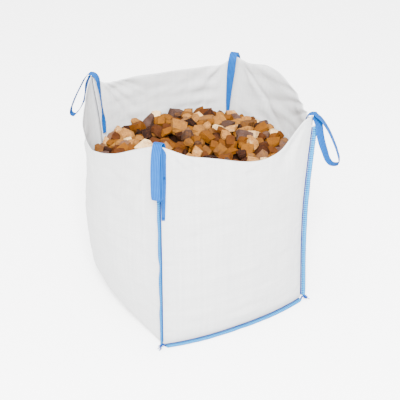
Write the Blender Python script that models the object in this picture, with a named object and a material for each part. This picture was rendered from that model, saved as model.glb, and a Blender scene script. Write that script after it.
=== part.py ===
"""Filled bulk bag (FIBC): a woven U-panel body with front and back panels, four lifting loops and a
load of crushed stone.

Frame: metres, +Z up, the origin on the floor under the middle of the base. The front panel faces -Y and
the U-panel forms the left wall (-X), the bottom and the right wall (+X).
"""
import math

import bmesh
import bpy
import numpy as np
from mathutils import Vector

# ---------------------------------------------------------------- driving dimensions (metres)
CLOTH = 0.0020          # thickness of a fabric ply, coated and slightly puckered
PLY_GAP = 0.0008        # free gap between the two plies of a turned-out seam
FIN = 0.030             # width of the turned-out seam allowance
SEAM_LIFT = 0.0050      # height of the bottom seams above the floor
STRAP_WIDTH = 0.050     # lifting-loop webbing
STRAP = 0.0030          # thickness of the webbing
CLEAR = 0.0006          # free gap between neighbouring sub-parts
LEG_CLEAR = 0.0025      # free gap between a strap leg and the puckered fabric under it
THREAD = 0.0008         # thickness of a run of stitching
OVERLOCK_DEPTH = 0.020  # how far the overlock thread reaches in from a seam's edge
CHAIN_OFFSET = 0.005    # distance of the chain stitch from the seam's root
CHAIN_WIDTH = 0.0025
OUTER_LEG_LENGTH = 0.42
OUTER_LEG_WIDTH = 0.030  # width of an outer leg, folded narrow beside the seam
OUTER_LEG_END_WIDTH = 0.018
INNER_LEG_LENGTH = 0.34
LEG_INSET = 0.0215      # distance of a sewn strap leg's middle from the corner seam
OUTER_END_INSET = 0.0135  # the same at the lower end of an outer leg
INNER_LEG_END_WIDTH = 0.020
INNER_LEG_DROP = 0.018  # height of a corner's top above the straight part of its inner leg
CORNER_CLEAR = 0.0080   # distance of an inner leg's edges from the seam, square to its width
LEG_DROP = 0.012        # height of a corner's top above the top of its sewn strap legs
UPPER_STITCH_DROP = 0.17  # distance of an outer leg's upper stitching bar below the leg's top
LOWER_STITCH_DROP = 0.40
STITCH_BAR = 0.010      # height of a bar of stitching
HUB_OUT = 0.014         # distance of a loop's fold line from the corner seam
HUB_RISE = 0.011        # height of a loop's fold line above the corner's top
HUB_RADIUS = 0.0035     # bend radius of the strap's middle line at the fold
BRIDGE_SINK = 0.0022    # how far an inner leg dips at the fold, so that a raised loop clears it
LOAD_CLEAR = 0.014      # free gap between the stones and the fabric
LOAD_SINK = 0.075       # how far the heap drops into the corners, below the middle of its edges
LOAD_FOOT = 0.84        # size of the load's lowest ring as a share of the ring above it
LOAD_LEVELS = (0.010, 0.03, 0.06, 0.12, 0.20, 0.35, 0.50, 0.65, 0.80)
RIM_BAND = 0.055        # height of the top of a corner seam that has no allowance, under the loop
RIM_CLEAR = 0.004       # how far a corner's stitching stops below the top of its allowance
WALL_RUN = 0.88         # length of a wall between its corner seams, near the rim

WALL_ROWS = 13          # stations up a wall, above its lower rounding
ROUND_ROWS = 4          # stations around a lower rounding
SEAM_ROWS = WALL_ROWS + ROUND_ROWS
PANEL_COLUMNS = 14      # steps across a panel

# Corners in counter-clockwise order seen from above, then the wall that starts at each corner.
CORNERS = ("front_left", "front_right", "back_right", "back_left")
FRONT, RIGHT, BACK, LEFT = range(4)
WALL_NORMAL = ((0.0, -1.0), (1.0, 0.0), (0.0, 1.0), (-1.0, 0.0))

# Corner seams: height, x, y. The seams lean in where the full bag swells between them.
CORNER_LINE = (
    ((0.0, -0.462, -0.468), (0.6, -0.450, -0.452), (1.30, -0.452, -0.455)),
    ((0.0, 0.468, -0.420), (0.6, 0.432, -0.438), (1.30, 0.458, -0.450)),
    ((0.0, 0.455, 0.450), (0.5, 0.435, 0.435), (0.9, 0.420, 0.440), (1.30, 0.465, 0.455)),
    ((0.0, -0.455, 0.440), (0.5, -0.440, 0.425), (0.9, -0.425, 0.440), (1.30, -0.465, 0.450)),
)
# Outward swell of each wall at its fullest column: height, amount.
SWELL = (
    ((0.0, 0.058), (0.12, 0.080), (0.45, 0.090), (0.85, 0.075), (1.0, 0.055), (1.30, 0.015)),
    ((0.0, 0.055), (0.15, 0.085), (0.50, 0.100), (0.90, 0.095), (1.1, 0.090), (1.30, 0.085)),
    ((0.0, 0.055), (0.12, 0.080), (0.45, 0.090), (0.85, 0.075), (1.0, 0.055), (1.30, 0.015)),
    ((0.0, 0.088), (0.20, 0.155), (0.47, 0.195), (0.80, 0.188), (1.0, 0.168), (1.15, 0.150),
     (1.30, 0.080)),
)
SWELL_SKEW = (1.0, 1.0, 1.0, 0.70)      # below 1 moves the fullest column towards the wall's start
SWELL_POWER = (2.4, 2.2, 2.4, 2.2)
LOWER_ROUND = (0.0, 0.095, 0.0, 0.140)  # radius of a wall's turn into the bottom, at its middle
CORNER_ROUND = 0.012
# Rim height of each wall: fraction along the wall, height.
RIM = (
    ((0.0, 1.235), (0.05, 1.21), (0.15, 1.165), (0.35, 1.11), (0.58, 1.052), (0.70, 1.052),
     (0.80, 1.09), (0.88, 1.16), (0.95, 1.205), (1.0, 1.215)),
    ((0.0, 1.215), (0.08, 1.175), (0.25, 1.19), (0.42, 1.235), (0.58, 1.262), (0.72, 1.262),
     (0.90, 1.24), (1.0, 1.255)),
    ((0.0, 1.255), (0.06, 1.215), (0.20, 1.205), (0.50, 1.21), (0.72, 1.225), (0.86, 1.22),
     (0.94, 1.235), (1.0, 1.285)),
    ((0.0, 1.285), (0.08, 1.22), (0.18, 1.08), (0.30, 1.01), (0.48, 1.03), (0.68, 1.09),
     (0.86, 1.175), (0.95, 1.215), (1.0, 1.235)),
)
# Stone surface: height where it meets the middle of each wall, and at its crown.
LOAD_EDGE = 0.945
LOAD_CROWN = 0.985

# Middle line of each hanging loop: distance out from its fold line, height above it. The strap
# leaves the fold on the outside, turns at the loop's end and comes back on the inside.
LOOP_LINE = {
    "front_left": ((0.026, -0.022), (0.060, -0.085), (0.082, -0.150), (0.096, -0.215),
                   (0.101, -0.258), (0.090, -0.270), (0.076, -0.262), (0.056, -0.200),
                   (0.034, -0.120), (0.025, -0.070), (0.010, -0.030)),
    "front_right": ((0.030, -0.020), (0.072, -0.070), (0.103, -0.115), (0.130, -0.175),
                    (0.146, -0.236), (0.136, -0.262), (0.104, -0.274), (0.066, -0.245),
                    (0.038, -0.185), (0.029, -0.120), (0.025, -0.070), (0.010, -0.030)),
    "back_right": ((0.028, -0.022), (0.062, -0.085), (0.086, -0.150), (0.100, -0.215),
                   (0.104, -0.255), (0.092, -0.268), (0.074, -0.256), (0.052, -0.195),
                   (0.033, -0.115), (0.025, -0.068), (0.009, -0.030)),
    "back_left": ((0.024, -0.022), (0.060, -0.085), (0.096, -0.150), (0.122, -0.208),
                  (0.138, -0.262), (0.130, -0.276), (0.104, -0.254), (0.070, -0.222),
                  (0.042, -0.165), (0.029, -0.100), (0.025, -0.065), (0.010, -0.030)),
}
# Sideways lean of each loop's far end along its fold line.
LOOP_LEAN = {"front_left": -0.030, "front_right": 0.010, "back_right": -0.008, "back_left": 0.012}


# ---------------------------------------------------------------- materials
def make_material(name, colour, roughness):
    """Plain Principled material."""
    material = bpy.data.materials.new(name)
    material.use_nodes = True
    shader = material.node_tree.nodes["Principled BSDF"]
    shader.inputs["Base Color"].default_value = (*colour, 1.0)
    shader.inputs["Roughness"].default_value = roughness
    shader.inputs["Metallic"].default_value = 0.0
    material.diffuse_color = (*colour, 1.0)
    return material


# ---------------------------------------------------------------- outline of the full bag
def smooth(knots, t):
    """Smooth curve through (position, value) knots."""
    x, y = np.array(knots, dtype=float).T
    t = np.asarray(t, dtype=float)
    slope = np.gradient(y, x)
    i = np.clip(np.searchsorted(x, t) - 1, 0, len(x) - 2)
    h = x[i + 1] - x[i]
    u = (t - x[i]) / h
    start = (1 + 2 * u) * (1 - u) ** 2 * y[i] + u * (1 - u) ** 2 * h * slope[i]
    end = u * u * (3 - 2 * u) * y[i + 1] + u * u * (u - 1) * h * slope[i + 1]
    return start + end


def corner_point(corner, z):
    """Plan position of a corner seam at height z."""
    line = CORNER_LINE[corner % 4]
    x = smooth([(height, across) for height, across, _ in line], z)
    y = smooth([(height, along) for height, _, along in line], z)
    return x, y


def crown(wall, s):
    """Share of the swell at fraction s along a wall: 0 at its corners, 1 at its fullest column."""
    skewed = np.clip(s, 0.0, 1.0) ** SWELL_SKEW[wall]
    return 1.0 - np.abs(2.0 * skewed - 1.0) ** SWELL_POWER[wall]


def wall_point(wall, s, z):
    """Point on a wall's outside at fraction s from its first corner and height z."""
    s, z = np.broadcast_arrays(np.asarray(s, dtype=float), np.asarray(z, dtype=float))
    x0, y0 = corner_point(wall, z)
    x1, y1 = corner_point(wall + 1, z)
    out = smooth(SWELL[wall], z) * crown(wall, s)
    x = (1 - s) * x0 + s * x1 + WALL_NORMAL[wall][0] * out
    y = (1 - s) * y0 + s * y1 + WALL_NORMAL[wall][1] * out
    return np.stack([x, y, z], axis=-1)


def rim_height(wall, s):
    """Height of a wall's top edge at fraction s."""
    return smooth(RIM[wall], s)


def round_radius(wall, s):
    """Radius of a wall's turn into the bottom at fraction s."""
    return CORNER_ROUND + LOWER_ROUND[wall] * crown(wall, s)


def seam_out(corner):
    """Direction in which a corner's seam allowance points."""
    first = WALL_NORMAL[(corner - 1) % 4]
    second = WALL_NORMAL[corner]
    return np.array([first[0] + second[0], first[1] + second[1], 0.0]) / math.sqrt(2.0)


def seam_side(corner):
    """Direction across a corner's seam, from its U-panel ply to its front or back panel ply."""
    end_wall = corner if corner in (0, 2) else (corner - 1) % 4
    side_wall = (corner - 1) % 4 if corner in (0, 2) else corner
    end = np.array([*WALL_NORMAL[end_wall], 0.0])
    side = np.array([*WALL_NORMAL[side_wall], 0.0])
    return (end - side) / math.sqrt(2.0)


def column_shares():
    """Fractions of the stations across a panel, closer together near its corners."""
    return 0.5 - 0.5 * np.cos(np.linspace(0.0, math.pi, PANEL_COLUMNS + 1))


def seam_heights(wall, s):
    """Heights of the stations up an end panel: a few up to the first wall station, then the wall's."""
    upper = wall_heights(wall, s)[1:]
    return np.concatenate([np.linspace(SEAM_LIFT, upper[0], ROUND_ROWS + 2)[:-1], upper])


def wall_heights(wall, s):
    """Heights of the stations up a wall: even from its lower rounding to the rim band, then the rim."""
    share = np.linspace(0.0, 1.0, WALL_ROWS - 1)
    low, rim = round_radius(wall, s), rim_height(wall, s)
    return np.append(low + share * (rim - RIM_BAND - low), rim)


# ---------------------------------------------------------------- mesh building
def add_object(name, vertices, faces, material, parent=None):
    """Make an object from world-space vertices; a moving piece's origin is its parent's."""
    origin = np.array(parent.location) if parent else np.zeros(3)
    mesh = bpy.data.meshes.new(name)
    mesh.from_pydata((np.asarray(vertices) - origin).tolist(), [], faces)
    mesh.materials.append(material)
    body = bmesh.new()
    body.from_mesh(mesh)
    bmesh.ops.recalc_face_normals(body, faces=body.faces)
    body.to_mesh(mesh)
    body.free()
    obj = bpy.data.objects.new(name, mesh)
    bpy.context.scene.collection.objects.link(obj)
    obj.parent = parent
    return obj


def unit(vectors):
    """Scale vectors to length 1."""
    vectors = np.asarray(vectors, dtype=float)
    return vectors / np.linalg.norm(vectors, axis=-1, keepdims=True)


def grid_normals(grid):
    """Unit normals of a grid of points, from the differences along its rows and columns."""
    normals = np.cross(np.gradient(grid, axis=0), np.gradient(grid, axis=1))
    length = np.linalg.norm(normals, axis=-1, keepdims=True)
    return normals / np.where(length > 0.0, length, 1.0)


def add_sheet(name, grid, normals, thickness, material, notches):
    """Closed sheet of even thickness around a grid of middle points, without the notched cells."""
    rows, columns = grid.shape[:2]
    half = 0.5 * thickness * normals
    vertices = np.concatenate([(grid + half).reshape(-1, 3), (grid - half).reshape(-1, 3)])
    back = rows * columns
    cells = [(i, j) for i in range(rows - 1) for j in range(columns - 1) if (i, j) not in notches]
    quads = [(i * columns + j, (i + 1) * columns + j, (i + 1) * columns + j + 1, i * columns + j + 1)
             for i, j in cells]
    edges = {edge for quad in quads for edge in zip(quad, quad[1:] + quad[:1])}
    rim = [(a, b) for a, b in edges if (b, a) not in edges]
    faces = quads + [tuple(back + k for k in reversed(quad)) for quad in quads]
    faces += [(b, a, back + a, back + b) for a, b in sorted(rim)]
    used = sorted({k for face in faces for k in face})
    place = {old: new for new, old in enumerate(used)}
    faces = [tuple(place[k] for k in face) for face in faces]
    return add_object(name, vertices[used], faces, material)


def add_sweep(name, points, across, normals, section, material, closed=False, parent=None):
    """Sweep a convex or U-shaped section, given as (across, normal) pairs, along framed points."""
    vertices = [p + a * u + n * v for p, a, n in zip(points, across, normals) for u, v in section]
    count = len(section)
    runs = len(points) if closed else len(points) - 1
    faces = []
    for i in range(runs):
        start, end = i * count, (i + 1) % len(points) * count
        for j in range(count):
            k = (j + 1) % count
            faces.append((start + j, start + k, end + k, end + j))
    if not closed:
        last = len(vertices) - count
        faces.append(tuple(reversed(range(count))))
        faces.append(tuple(last + k for k in range(count)))
    return add_object(name, np.array(vertices), faces, material, parent)


def flat_section(width, thickness, lift=0.0):
    """Rectangle for a strip of cloth, webbing or stitching, lifted off its path."""
    half = 0.5 * width
    low, high = lift - 0.5 * thickness, lift + 0.5 * thickness
    return ((-half, low), (half, low), (half, high), (-half, high))


# ---------------------------------------------------------------- seams
def corner_seam(corner):
    """Stations up a corner seam, from the bottom corner to the rim, with out and side directions."""
    wall = corner if corner in (0, 2) else corner - 1
    s = 0.0 if corner in (0, 2) else 1.0
    z = seam_heights(wall, s)
    points = wall_point(wall, s, z)
    end_wall = FRONT if corner in (0, 1) else BACK
    turned = (np.arange(len(z)) == 0)[:, None]
    out = unit(seam_out(corner) + turned * np.array([*WALL_NORMAL[end_wall], 0.0]))
    side = seam_side(corner) + turned * np.array([0.0, 0.0, 1.0])
    side = unit(side - out * np.sum(side * out, axis=1, keepdims=True))
    return points, out, side


def bottom_seam(wall):
    """Stations along a bottom seam, from the left to the right corner seen from the front."""
    share = column_shares()[1:-1]
    s = share if wall == FRONT else 1.0 - share
    points = wall_point(wall, s, 0.0)
    points[:, 2] = SEAM_LIFT
    out = np.tile(np.array([*WALL_NORMAL[wall], 0.0]), (len(s), 1))
    side = np.tile(np.array([0.0, 0.0, 1.0]), (len(s), 1))
    return points, out, side


def seam_run(wall):
    """Whole seam of an end panel: down its left corner, along its bottom, up its right corner."""
    left, right = (0, 1) if wall == FRONT else (3, 2)
    parts = [[line[::-1] for line in corner_seam(left)], bottom_seam(wall), corner_seam(right)]
    return tuple(np.concatenate(lines) for lines in zip(*parts))


def ply_lines(points, out, side, sign):
    """Root and edge lines of the ply on one side of a seam."""
    root = points + sign * 0.5 * (CLOTH + PLY_GAP) * side
    return root, root + out * FIN


def add_overlock(name, points, out, side, material):
    """Overlock thread that wraps the edge of both plies of a seam."""
    inner = CLOTH + 0.5 * PLY_GAP + 0.5 * CLEAR
    outer = inner + THREAD
    start, gap, end = FIN - OVERLOCK_DEPTH, FIN + 0.5 * CLEAR, FIN + 0.5 * CLEAR + THREAD
    section = ((start, -outer), (end, -outer), (end, outer), (start, outer),
               (start, inner), (gap, inner), (gap, -inner), (start, -inner))
    return add_sweep(name, points, out, side, section, material)


def add_chain_stitch(name, points, out, side, material):
    """Chain stitch that closes a seam, as it shows on the end panel's ply."""
    lift = CLOTH + 0.5 * PLY_GAP + 0.5 * CLEAR + 0.5 * THREAD
    half = 0.5 * CHAIN_WIDTH
    section = ((CHAIN_OFFSET - half, lift - 0.5 * THREAD), (CHAIN_OFFSET + half, lift - 0.5 * THREAD),
               (CHAIN_OFFSET + half, lift + 0.5 * THREAD), (CHAIN_OFFSET - half, lift + 0.5 * THREAD))
    return add_sweep(name, points, out, side, section, material)


# ---------------------------------------------------------------- fabric panels
def add_end_panel(name, wall, material):
    """Front or back panel with its allowances turned out down both sides and along the bottom."""
    points, out, side = seam_run(wall)
    root, edge = ply_lines(points, out, side, 1.0)
    first, second = SEAM_ROWS - 1, SEAM_ROWS - 1 + PANEL_COLUMNS
    share = column_shares()
    s = share if wall == FRONT else 1.0 - share
    heights = np.array([seam_heights(wall, value) for value in s]).T
    grid = wall_point(wall, np.tile(s, (SEAM_ROWS, 1)), heights)
    grid[:, 0], grid[:, -1] = root[first::-1], root[second:]
    grid[0] = root[first:second + 1]
    grid = np.concatenate([edge[None, first:second + 1], grid])
    grid = np.concatenate([np.insert(edge[first::-1], 0, edge[first], axis=0)[:, None], grid,
                           np.insert(edge[second:], 0, edge[second], axis=0)[:, None]], axis=1)
    normals = -grid_normals(grid) if wall == FRONT else grid_normals(grid)
    last = grid.shape[1] - 2
    top = SEAM_ROWS - 1
    notches = {(0, 0), (0, 1), (1, 0), (0, last), (0, last - 1), (1, last), (top, 0), (top, last)}
    return add_sheet(name, grid, normals, CLOTH, material, notches)


def turned_side(wall, s):
    """Middle points down a U-panel side at fraction s, from rim to the edge of the flat bottom."""
    upper = wall_heights(wall, s)[:0:-1]
    line = wall_point(wall, s, upper)
    radius = round_radius(wall, s)
    angle = np.linspace(0.5 * math.pi, 0.0, ROUND_ROWS + 1)
    turn = wall_point(wall, s, radius * (1.0 - np.cos(angle)))
    inward = radius * (1.0 - np.sin(angle))
    turn[:, 0] -= WALL_NORMAL[wall][0] * inward
    turn[:, 2] = np.maximum(turn[:, 2], 0.5 * CLOTH)
    return np.concatenate([line, turn])


def add_u_panel(name, material):
    """One length of cloth that runs down the left wall, under the load and up the right wall."""
    share = column_shares()
    left = np.array([turned_side(LEFT, 1.0 - value) for value in share])
    right = np.array([turned_side(RIGHT, value) for value in share])
    front = bottom_seam(FRONT)[0]
    rear = bottom_seam(BACK)[0]
    corners = [left[0, -1], right[0, -1], left[-1, -1], right[-1, -1]]
    bottom = []
    for w, near, far in zip(share[1:-1], front, rear):
        s = share[:, None]
        row = (1 - w) * left[:, -1] + w * right[:, -1] + (1 - s) * near + s * far
        row -= (1 - s) * ((1 - w) * corners[0] + w * corners[1])
        row -= s * ((1 - w) * corners[2] + w * corners[3])
        row[:, 2] = 0.5 * CLOTH
        bottom.append(row)
    grid = np.concatenate([left, np.array(bottom).transpose(1, 0, 2), right[:, ::-1]], axis=1)
    front_root, front_edge = ply_lines(*seam_run(FRONT), -1.0)
    back_root, back_edge = ply_lines(*seam_run(BACK), -1.0)
    grid[0], grid[-1] = front_root, back_root
    grid = np.concatenate([front_edge[None], grid, back_edge[None]])
    first, second, last = SEAM_ROWS - 1, SEAM_ROWS - 1 + PANEL_COLUMNS, len(grid) - 2
    notched = (0, first - 1, first, second - 1, second, grid.shape[1] - 2)
    notches = {(row, column) for row in (0, last) for column in notched}
    return add_sheet(name, grid, grid_normals(grid), CLOTH, material, notches)


# ---------------------------------------------------------------- load
def add_load(name, material):
    """Crushed stone that fills the bag to a low crown, inside the fabric on every side."""
    ring = []
    for wall in range(4):
        for s in np.linspace(0.0, 1.0, PANEL_COLUMNS // 2 + 1)[:-1]:
            ring.append((wall, s))
    outline = []
    for height in (*LOAD_LEVELS, None):
        line = []
        for wall, s in ring:
            edge = LOAD_EDGE - LOAD_SINK * abs(2 * s - 1) ** 2
            z = edge if height is None else height
            point = wall_point(wall, s, z)
            radius = round_radius(wall, s)
            share = np.clip(1.0 - z / radius, 0.0, 1.0)
            inward = radius * (1.0 - math.sqrt(1.0 - share ** 2)) + LOAD_CLEAR
            point[:2] -= np.array(WALL_NORMAL[wall]) * inward
            corner_pull = abs(2 * s - 1) ** 6 * LOAD_CLEAR
            point[:2] -= np.sign(point[:2]) * corner_pull * 2.0
            line.append(point)
        outline.append(np.array(line))
    top = outline[-1]
    centre = np.array([*top[:, :2].mean(axis=0), LOAD_CROWN])
    for share in (0.75, 0.5, 0.25):
        line = centre + share * (top - centre)
        line[:, 2] = LOAD_CROWN - (LOAD_CROWN - top[:, 2]) * share ** 2
        outline.append(line)
    low = outline[0].copy()
    low[:, 2] = CLOTH + 2.0 * CLEAR
    low[:, :2] = low[:, :2].mean(axis=0) + LOAD_FOOT * (low[:, :2] - low[:, :2].mean(axis=0))
    outline.insert(0, low)
    vertices = np.concatenate(outline + [centre[None]])
    count = len(ring)
    faces = []
    for i in range(len(outline) - 1):
        for j in range(count):
            k = (j + 1) % count
            faces.append((i * count + j, i * count + k, (i + 1) * count + k, (i + 1) * count + j))
    last = (len(outline) - 1) * count
    faces += [(last + j, last + (j + 1) % count, len(vertices) - 1) for j in range(count)]
    faces.append(tuple(reversed(range(count))))
    return add_object(name, vertices, faces, material)


# ---------------------------------------------------------------- webbing
def corner_top(corner):
    """Top of a corner seam."""
    wall = corner if corner in (0, 2) else corner - 1
    s = 0.0 if corner in (0, 2) else 1.0
    return wall_point(wall, s, rim_height(wall, s))


def fold_line(corner):
    """Middle of a loop's fold line, which is its hinge."""
    return corner_top(corner) + HUB_OUT * seam_out(corner) + np.array([0.0, 0.0, HUB_RISE])


def fold_axis(corner):
    """Direction of a loop's fold line: turning about it lifts the loop up and inwards."""
    return np.cross(seam_out(corner), np.array([0.0, 0.0, 1.0]))


def rounded_line(points, steps):
    """Resample hand-placed points as a smooth line with even steps in its parameter."""
    knots = np.arange(len(points))
    t = np.linspace(0.0, len(points) - 1, steps)
    return np.stack([smooth(list(zip(knots, column)), t) for column in np.array(points).T], axis=-1)


def add_loop(name, corner, pivot, material):
    """Free part of a lifting loop: a closed band that wraps its fold line and hangs outside."""
    turn = np.radians([200.0, 150.0, 90.0, 30.0, -15.0])
    hub = [(HUB_RADIUS * math.cos(a), HUB_RADIUS * math.sin(a)) for a in turn]
    hanging = rounded_line(LOOP_LINE[CORNERS[corner]], 21)
    outline = np.concatenate([np.array(hub), hanging])
    out, up = seam_out(corner), np.array([0.0, 0.0, 1.0])
    axis = fold_axis(corner)
    lean = LOOP_LEAN[CORNERS[corner]] * np.clip(-outline[:, 1] / 0.3, 0.0, 1.0)
    points = np.array(pivot.location) + outline[:, :1] * out + outline[:, 1:] * up + lean[:, None] * axis
    along = unit(np.roll(outline, -1, axis=0) - np.roll(outline, 1, axis=0))
    normals = along[:, 1:] * out - along[:, :1] * up
    across = np.tile(axis, (len(points), 1))
    section = flat_section(STRAP_WIDTH, STRAP)
    return add_sweep(name, points, across, normals, section, material, closed=True, parent=pivot)


def leg_line(corner, wall, length, lift, end_inset):
    """Path of a sewn strap leg down a wall: points, across directions and wall normals."""
    starts_here = wall == corner
    top = float(corner_top(corner)[2]) - LEG_DROP
    z = np.linspace(top, top - length, 12)
    inset = np.linspace(LEG_INSET, end_inset, len(z))
    s = inset / WALL_RUN if starts_here else 1.0 - inset / WALL_RUN
    ahead = wall_point(wall, s + 0.01, z) - wall_point(wall, s - 0.01, z)
    above = wall_point(wall, s, z + 0.01) - wall_point(wall, s, z - 0.01)
    normals = unit(np.cross(ahead, above))
    across = unit(np.cross(above, normals))
    points = wall_point(wall, s, z) + lift * normals
    return points, across, normals


def taper(points, width, end_width):
    """Half-widths of a strap leg down its length: full in its upper half, then narrowing."""
    share = np.linspace(0.0, 1.0, len(points))
    return 0.5 * (width + (end_width - width) * np.clip(2.0 * share - 1.0, 0.0, 1.0))


def add_outer_leg(name, corner, wall, material):
    """Strap leg sewn flat to the outside of a wall beside its corner seam."""
    lift = 0.5 * CLOTH + 0.5 * STRAP + LEG_CLEAR
    points, across, normals = leg_line(corner, wall, OUTER_LEG_LENGTH, lift, OUTER_END_INSET)
    half = taper(points, OUTER_LEG_WIDTH, OUTER_LEG_END_WIDTH)
    return add_sweep(name, points, across * half[:, None] / (0.5 * STRAP_WIDTH), normals,
                     flat_section(STRAP_WIDTH, STRAP), material)


def add_inner_leg(name, corner, material):
    """Strap leg inside a corner, flat across its seam; its top crosses over the corner to the fold."""
    z = float(corner_top(corner)[2]) - INNER_LEG_DROP - np.linspace(0.0, INNER_LEG_LENGTH, 12)
    half = taper(z, STRAP_WIDTH, INNER_LEG_END_WIDTH)
    out, up = seam_out(corner), np.array([0.0, 0.0, 1.0])
    seam = np.stack([*corner_point(corner, z), z], axis=-1)
    leg = seam - (half + CORNER_CLEAR)[:, None] * out
    tip = fold_line(corner)
    reach = HUB_RADIUS + 0.5 * STRAP + CLEAR
    bridge = np.array([tip - reach * out - BRIDGE_SINK * up, tip - (reach + 0.014) * out,
                       tip - (reach + 0.029) * out - 0.007 * up])
    points = np.concatenate([bridge, leg])
    along = unit(np.gradient(points, axis=0))
    axis = fold_axis(corner)
    normals = unit(np.cross(axis, along))
    width = np.concatenate([np.full(3, 0.5 * STRAP_WIDTH), half]) / (0.5 * STRAP_WIDTH)
    return add_sweep(name, points, np.tile(axis, (len(points), 1)) * width[:, None], normals,
                     flat_section(STRAP_WIDTH, STRAP), material)


# ---------------------------------------------------------------- threads
def add_leg_stitch(name, corner, wall, drop, material):
    """Bar of stitching across an outer strap leg, at a distance below the corner's top."""
    lift = 0.5 * CLOTH + STRAP + LEG_CLEAR + CLEAR + 0.5 * THREAD
    points, across, normals = leg_line(corner, wall, OUTER_LEG_LENGTH, lift, OUTER_END_INSET)
    step = OUTER_LEG_LENGTH / (len(points) - 1)
    start = int(drop / step)
    upper = drop < 0.5 * OUTER_LEG_LENGTH
    section = flat_section(0.75 * OUTER_LEG_WIDTH if upper else 0.9 * OUTER_LEG_END_WIDTH, THREAD)
    middle = points[start] + 0.5 * (points[start + 1] - points[start])
    along = unit(points[start + 1] - points[start])
    ends = np.array([middle - 0.5 * STITCH_BAR * along, middle + 0.5 * STITCH_BAR * along])
    frame = (np.tile(across[start], (2, 1)), np.tile(normals[start], (2, 1)))
    return add_sweep(name, ends, *frame, section, material)


def add_tuft(name, points, radii, material):
    """Bunch of loose thread ends, as a tapered rod along hand-placed points."""
    line = rounded_line(points, 7)
    width = np.interp(np.linspace(0, 1, len(line)), np.linspace(0, 1, len(radii)), radii)
    along = unit(np.gradient(line, axis=0))
    across = unit(np.cross(along, np.array([0.3, 0.2, 1.0])))
    normals = np.cross(along, across)
    angles = np.linspace(0.0, 2.0 * math.pi, 9)[:-1]
    section = [(math.cos(a), math.sin(a)) for a in angles]
    return add_sweep(name, line, across * width[:, None], normals * width[:, None], section, material)


# ---------------------------------------------------------------- assembly
def remove_all():
    """Empty the scene."""
    for obj in list(bpy.data.objects):
        bpy.data.objects.remove(obj, do_unlink=True)


def add_pivot(corner):
    """Empty on a loop's fold line."""
    pivot = bpy.data.objects.new("pivot_" + CORNERS[corner], None)
    bpy.context.scene.collection.objects.link(pivot)
    pivot.location = Vector(fold_line(corner).tolist())
    return pivot


def main():
    remove_all()
    cloth = make_material("woven_polypropylene", (0.80, 0.80, 0.79), 0.62)
    webbing = make_material("blue_webbing", (0.19, 0.45, 0.86), 0.60)
    pale_thread = make_material("pale_overlock_thread", (0.50, 0.71, 0.90), 0.70)
    thread = make_material("blue_thread", (0.10, 0.24, 0.62), 0.65)
    stone = make_material("crushed_stone", (0.46, 0.30, 0.17), 0.85)

    add_u_panel("u_panel", cloth)
    add_end_panel("front_panel", FRONT, cloth)
    add_end_panel("back_panel", BACK, cloth)
    add_load("stone_load", stone)

    for wall, label in ((FRONT, "bottom_front"), (BACK, "bottom_back")):
        run = bottom_seam(wall)
        add_overlock("overlock_thread_" + label, *run, pale_thread)
        add_chain_stitch("chain_stitch_" + label, *run, thread)
    for corner, label in enumerate(CORNERS):
        points, out, side = (line[1:-1] for line in corner_seam(corner))
        below_rim = points.copy()
        below_rim[-1, 2] -= RIM_CLEAR
        add_overlock("overlock_thread_" + label, below_rim, out, side, pale_thread)
        add_chain_stitch("chain_stitch_" + label, below_rim, out, side, thread)
        add_outer_leg("outer_strap_leg_" + label, corner, corner, webbing)
        add_inner_leg("inner_strap_leg_" + label, corner, webbing)
        add_leg_stitch("upper_leg_stitch_" + label, corner, corner, UPPER_STITCH_DROP, thread)
        add_leg_stitch("lower_leg_stitch_" + label, corner, corner, LOWER_STITCH_DROP, thread)
        add_loop("loop_" + label, corner, add_pivot(corner), webbing)

    for corner in (0, 1):
        points, out, side = corner_seam(corner)
        tip = points[1] + out[1] * (FIN - 0.004) - (0.0, 0.0, 0.004)
        path = (tip, tip + 0.012 * out[1] - (0, 0, 0.011), tip + 0.034 * out[1] - (0, 0, 0.016))
        add_tuft("thread_tail_" + CORNERS[corner], path, (0.002, 0.0045, 0.0015), thread)


if __name__ == "__main__":
    main()
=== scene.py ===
"""Filled bulk bag: the finished look of its cloth, webbing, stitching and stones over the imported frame."""

import logging
import math
from dataclasses import dataclass, field
from enum import IntEnum
from typing import Optional, Sequence

import bmesh
import bpy
import numpy as np
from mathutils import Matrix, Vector


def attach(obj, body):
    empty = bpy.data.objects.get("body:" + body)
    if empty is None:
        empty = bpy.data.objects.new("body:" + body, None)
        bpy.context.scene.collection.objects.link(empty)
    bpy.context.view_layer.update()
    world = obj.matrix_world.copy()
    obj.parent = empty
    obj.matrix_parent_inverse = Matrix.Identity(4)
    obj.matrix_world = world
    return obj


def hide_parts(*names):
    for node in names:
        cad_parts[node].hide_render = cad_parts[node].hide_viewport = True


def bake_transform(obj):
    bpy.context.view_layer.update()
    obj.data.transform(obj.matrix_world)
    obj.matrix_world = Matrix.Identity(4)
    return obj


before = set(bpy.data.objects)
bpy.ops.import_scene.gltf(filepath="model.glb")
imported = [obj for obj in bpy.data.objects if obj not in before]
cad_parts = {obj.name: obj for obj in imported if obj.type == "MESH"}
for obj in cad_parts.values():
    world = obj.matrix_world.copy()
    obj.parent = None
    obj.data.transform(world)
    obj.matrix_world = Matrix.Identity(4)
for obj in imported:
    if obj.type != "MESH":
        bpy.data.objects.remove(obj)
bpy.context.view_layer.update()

LOG = logging.getLogger("bulk_bag")
Array = np.ndarray
Knots = Sequence[tuple[float, float]]


# ---------------------------------------------------------------- plain numpy helpers
def unit(vectors: Array) -> Array:
    """Scale vectors along the last axis to length 1."""
    length = np.linalg.norm(vectors, axis=-1, keepdims=True)
    return vectors / np.where(length > 0.0, length, 1.0)


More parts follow.
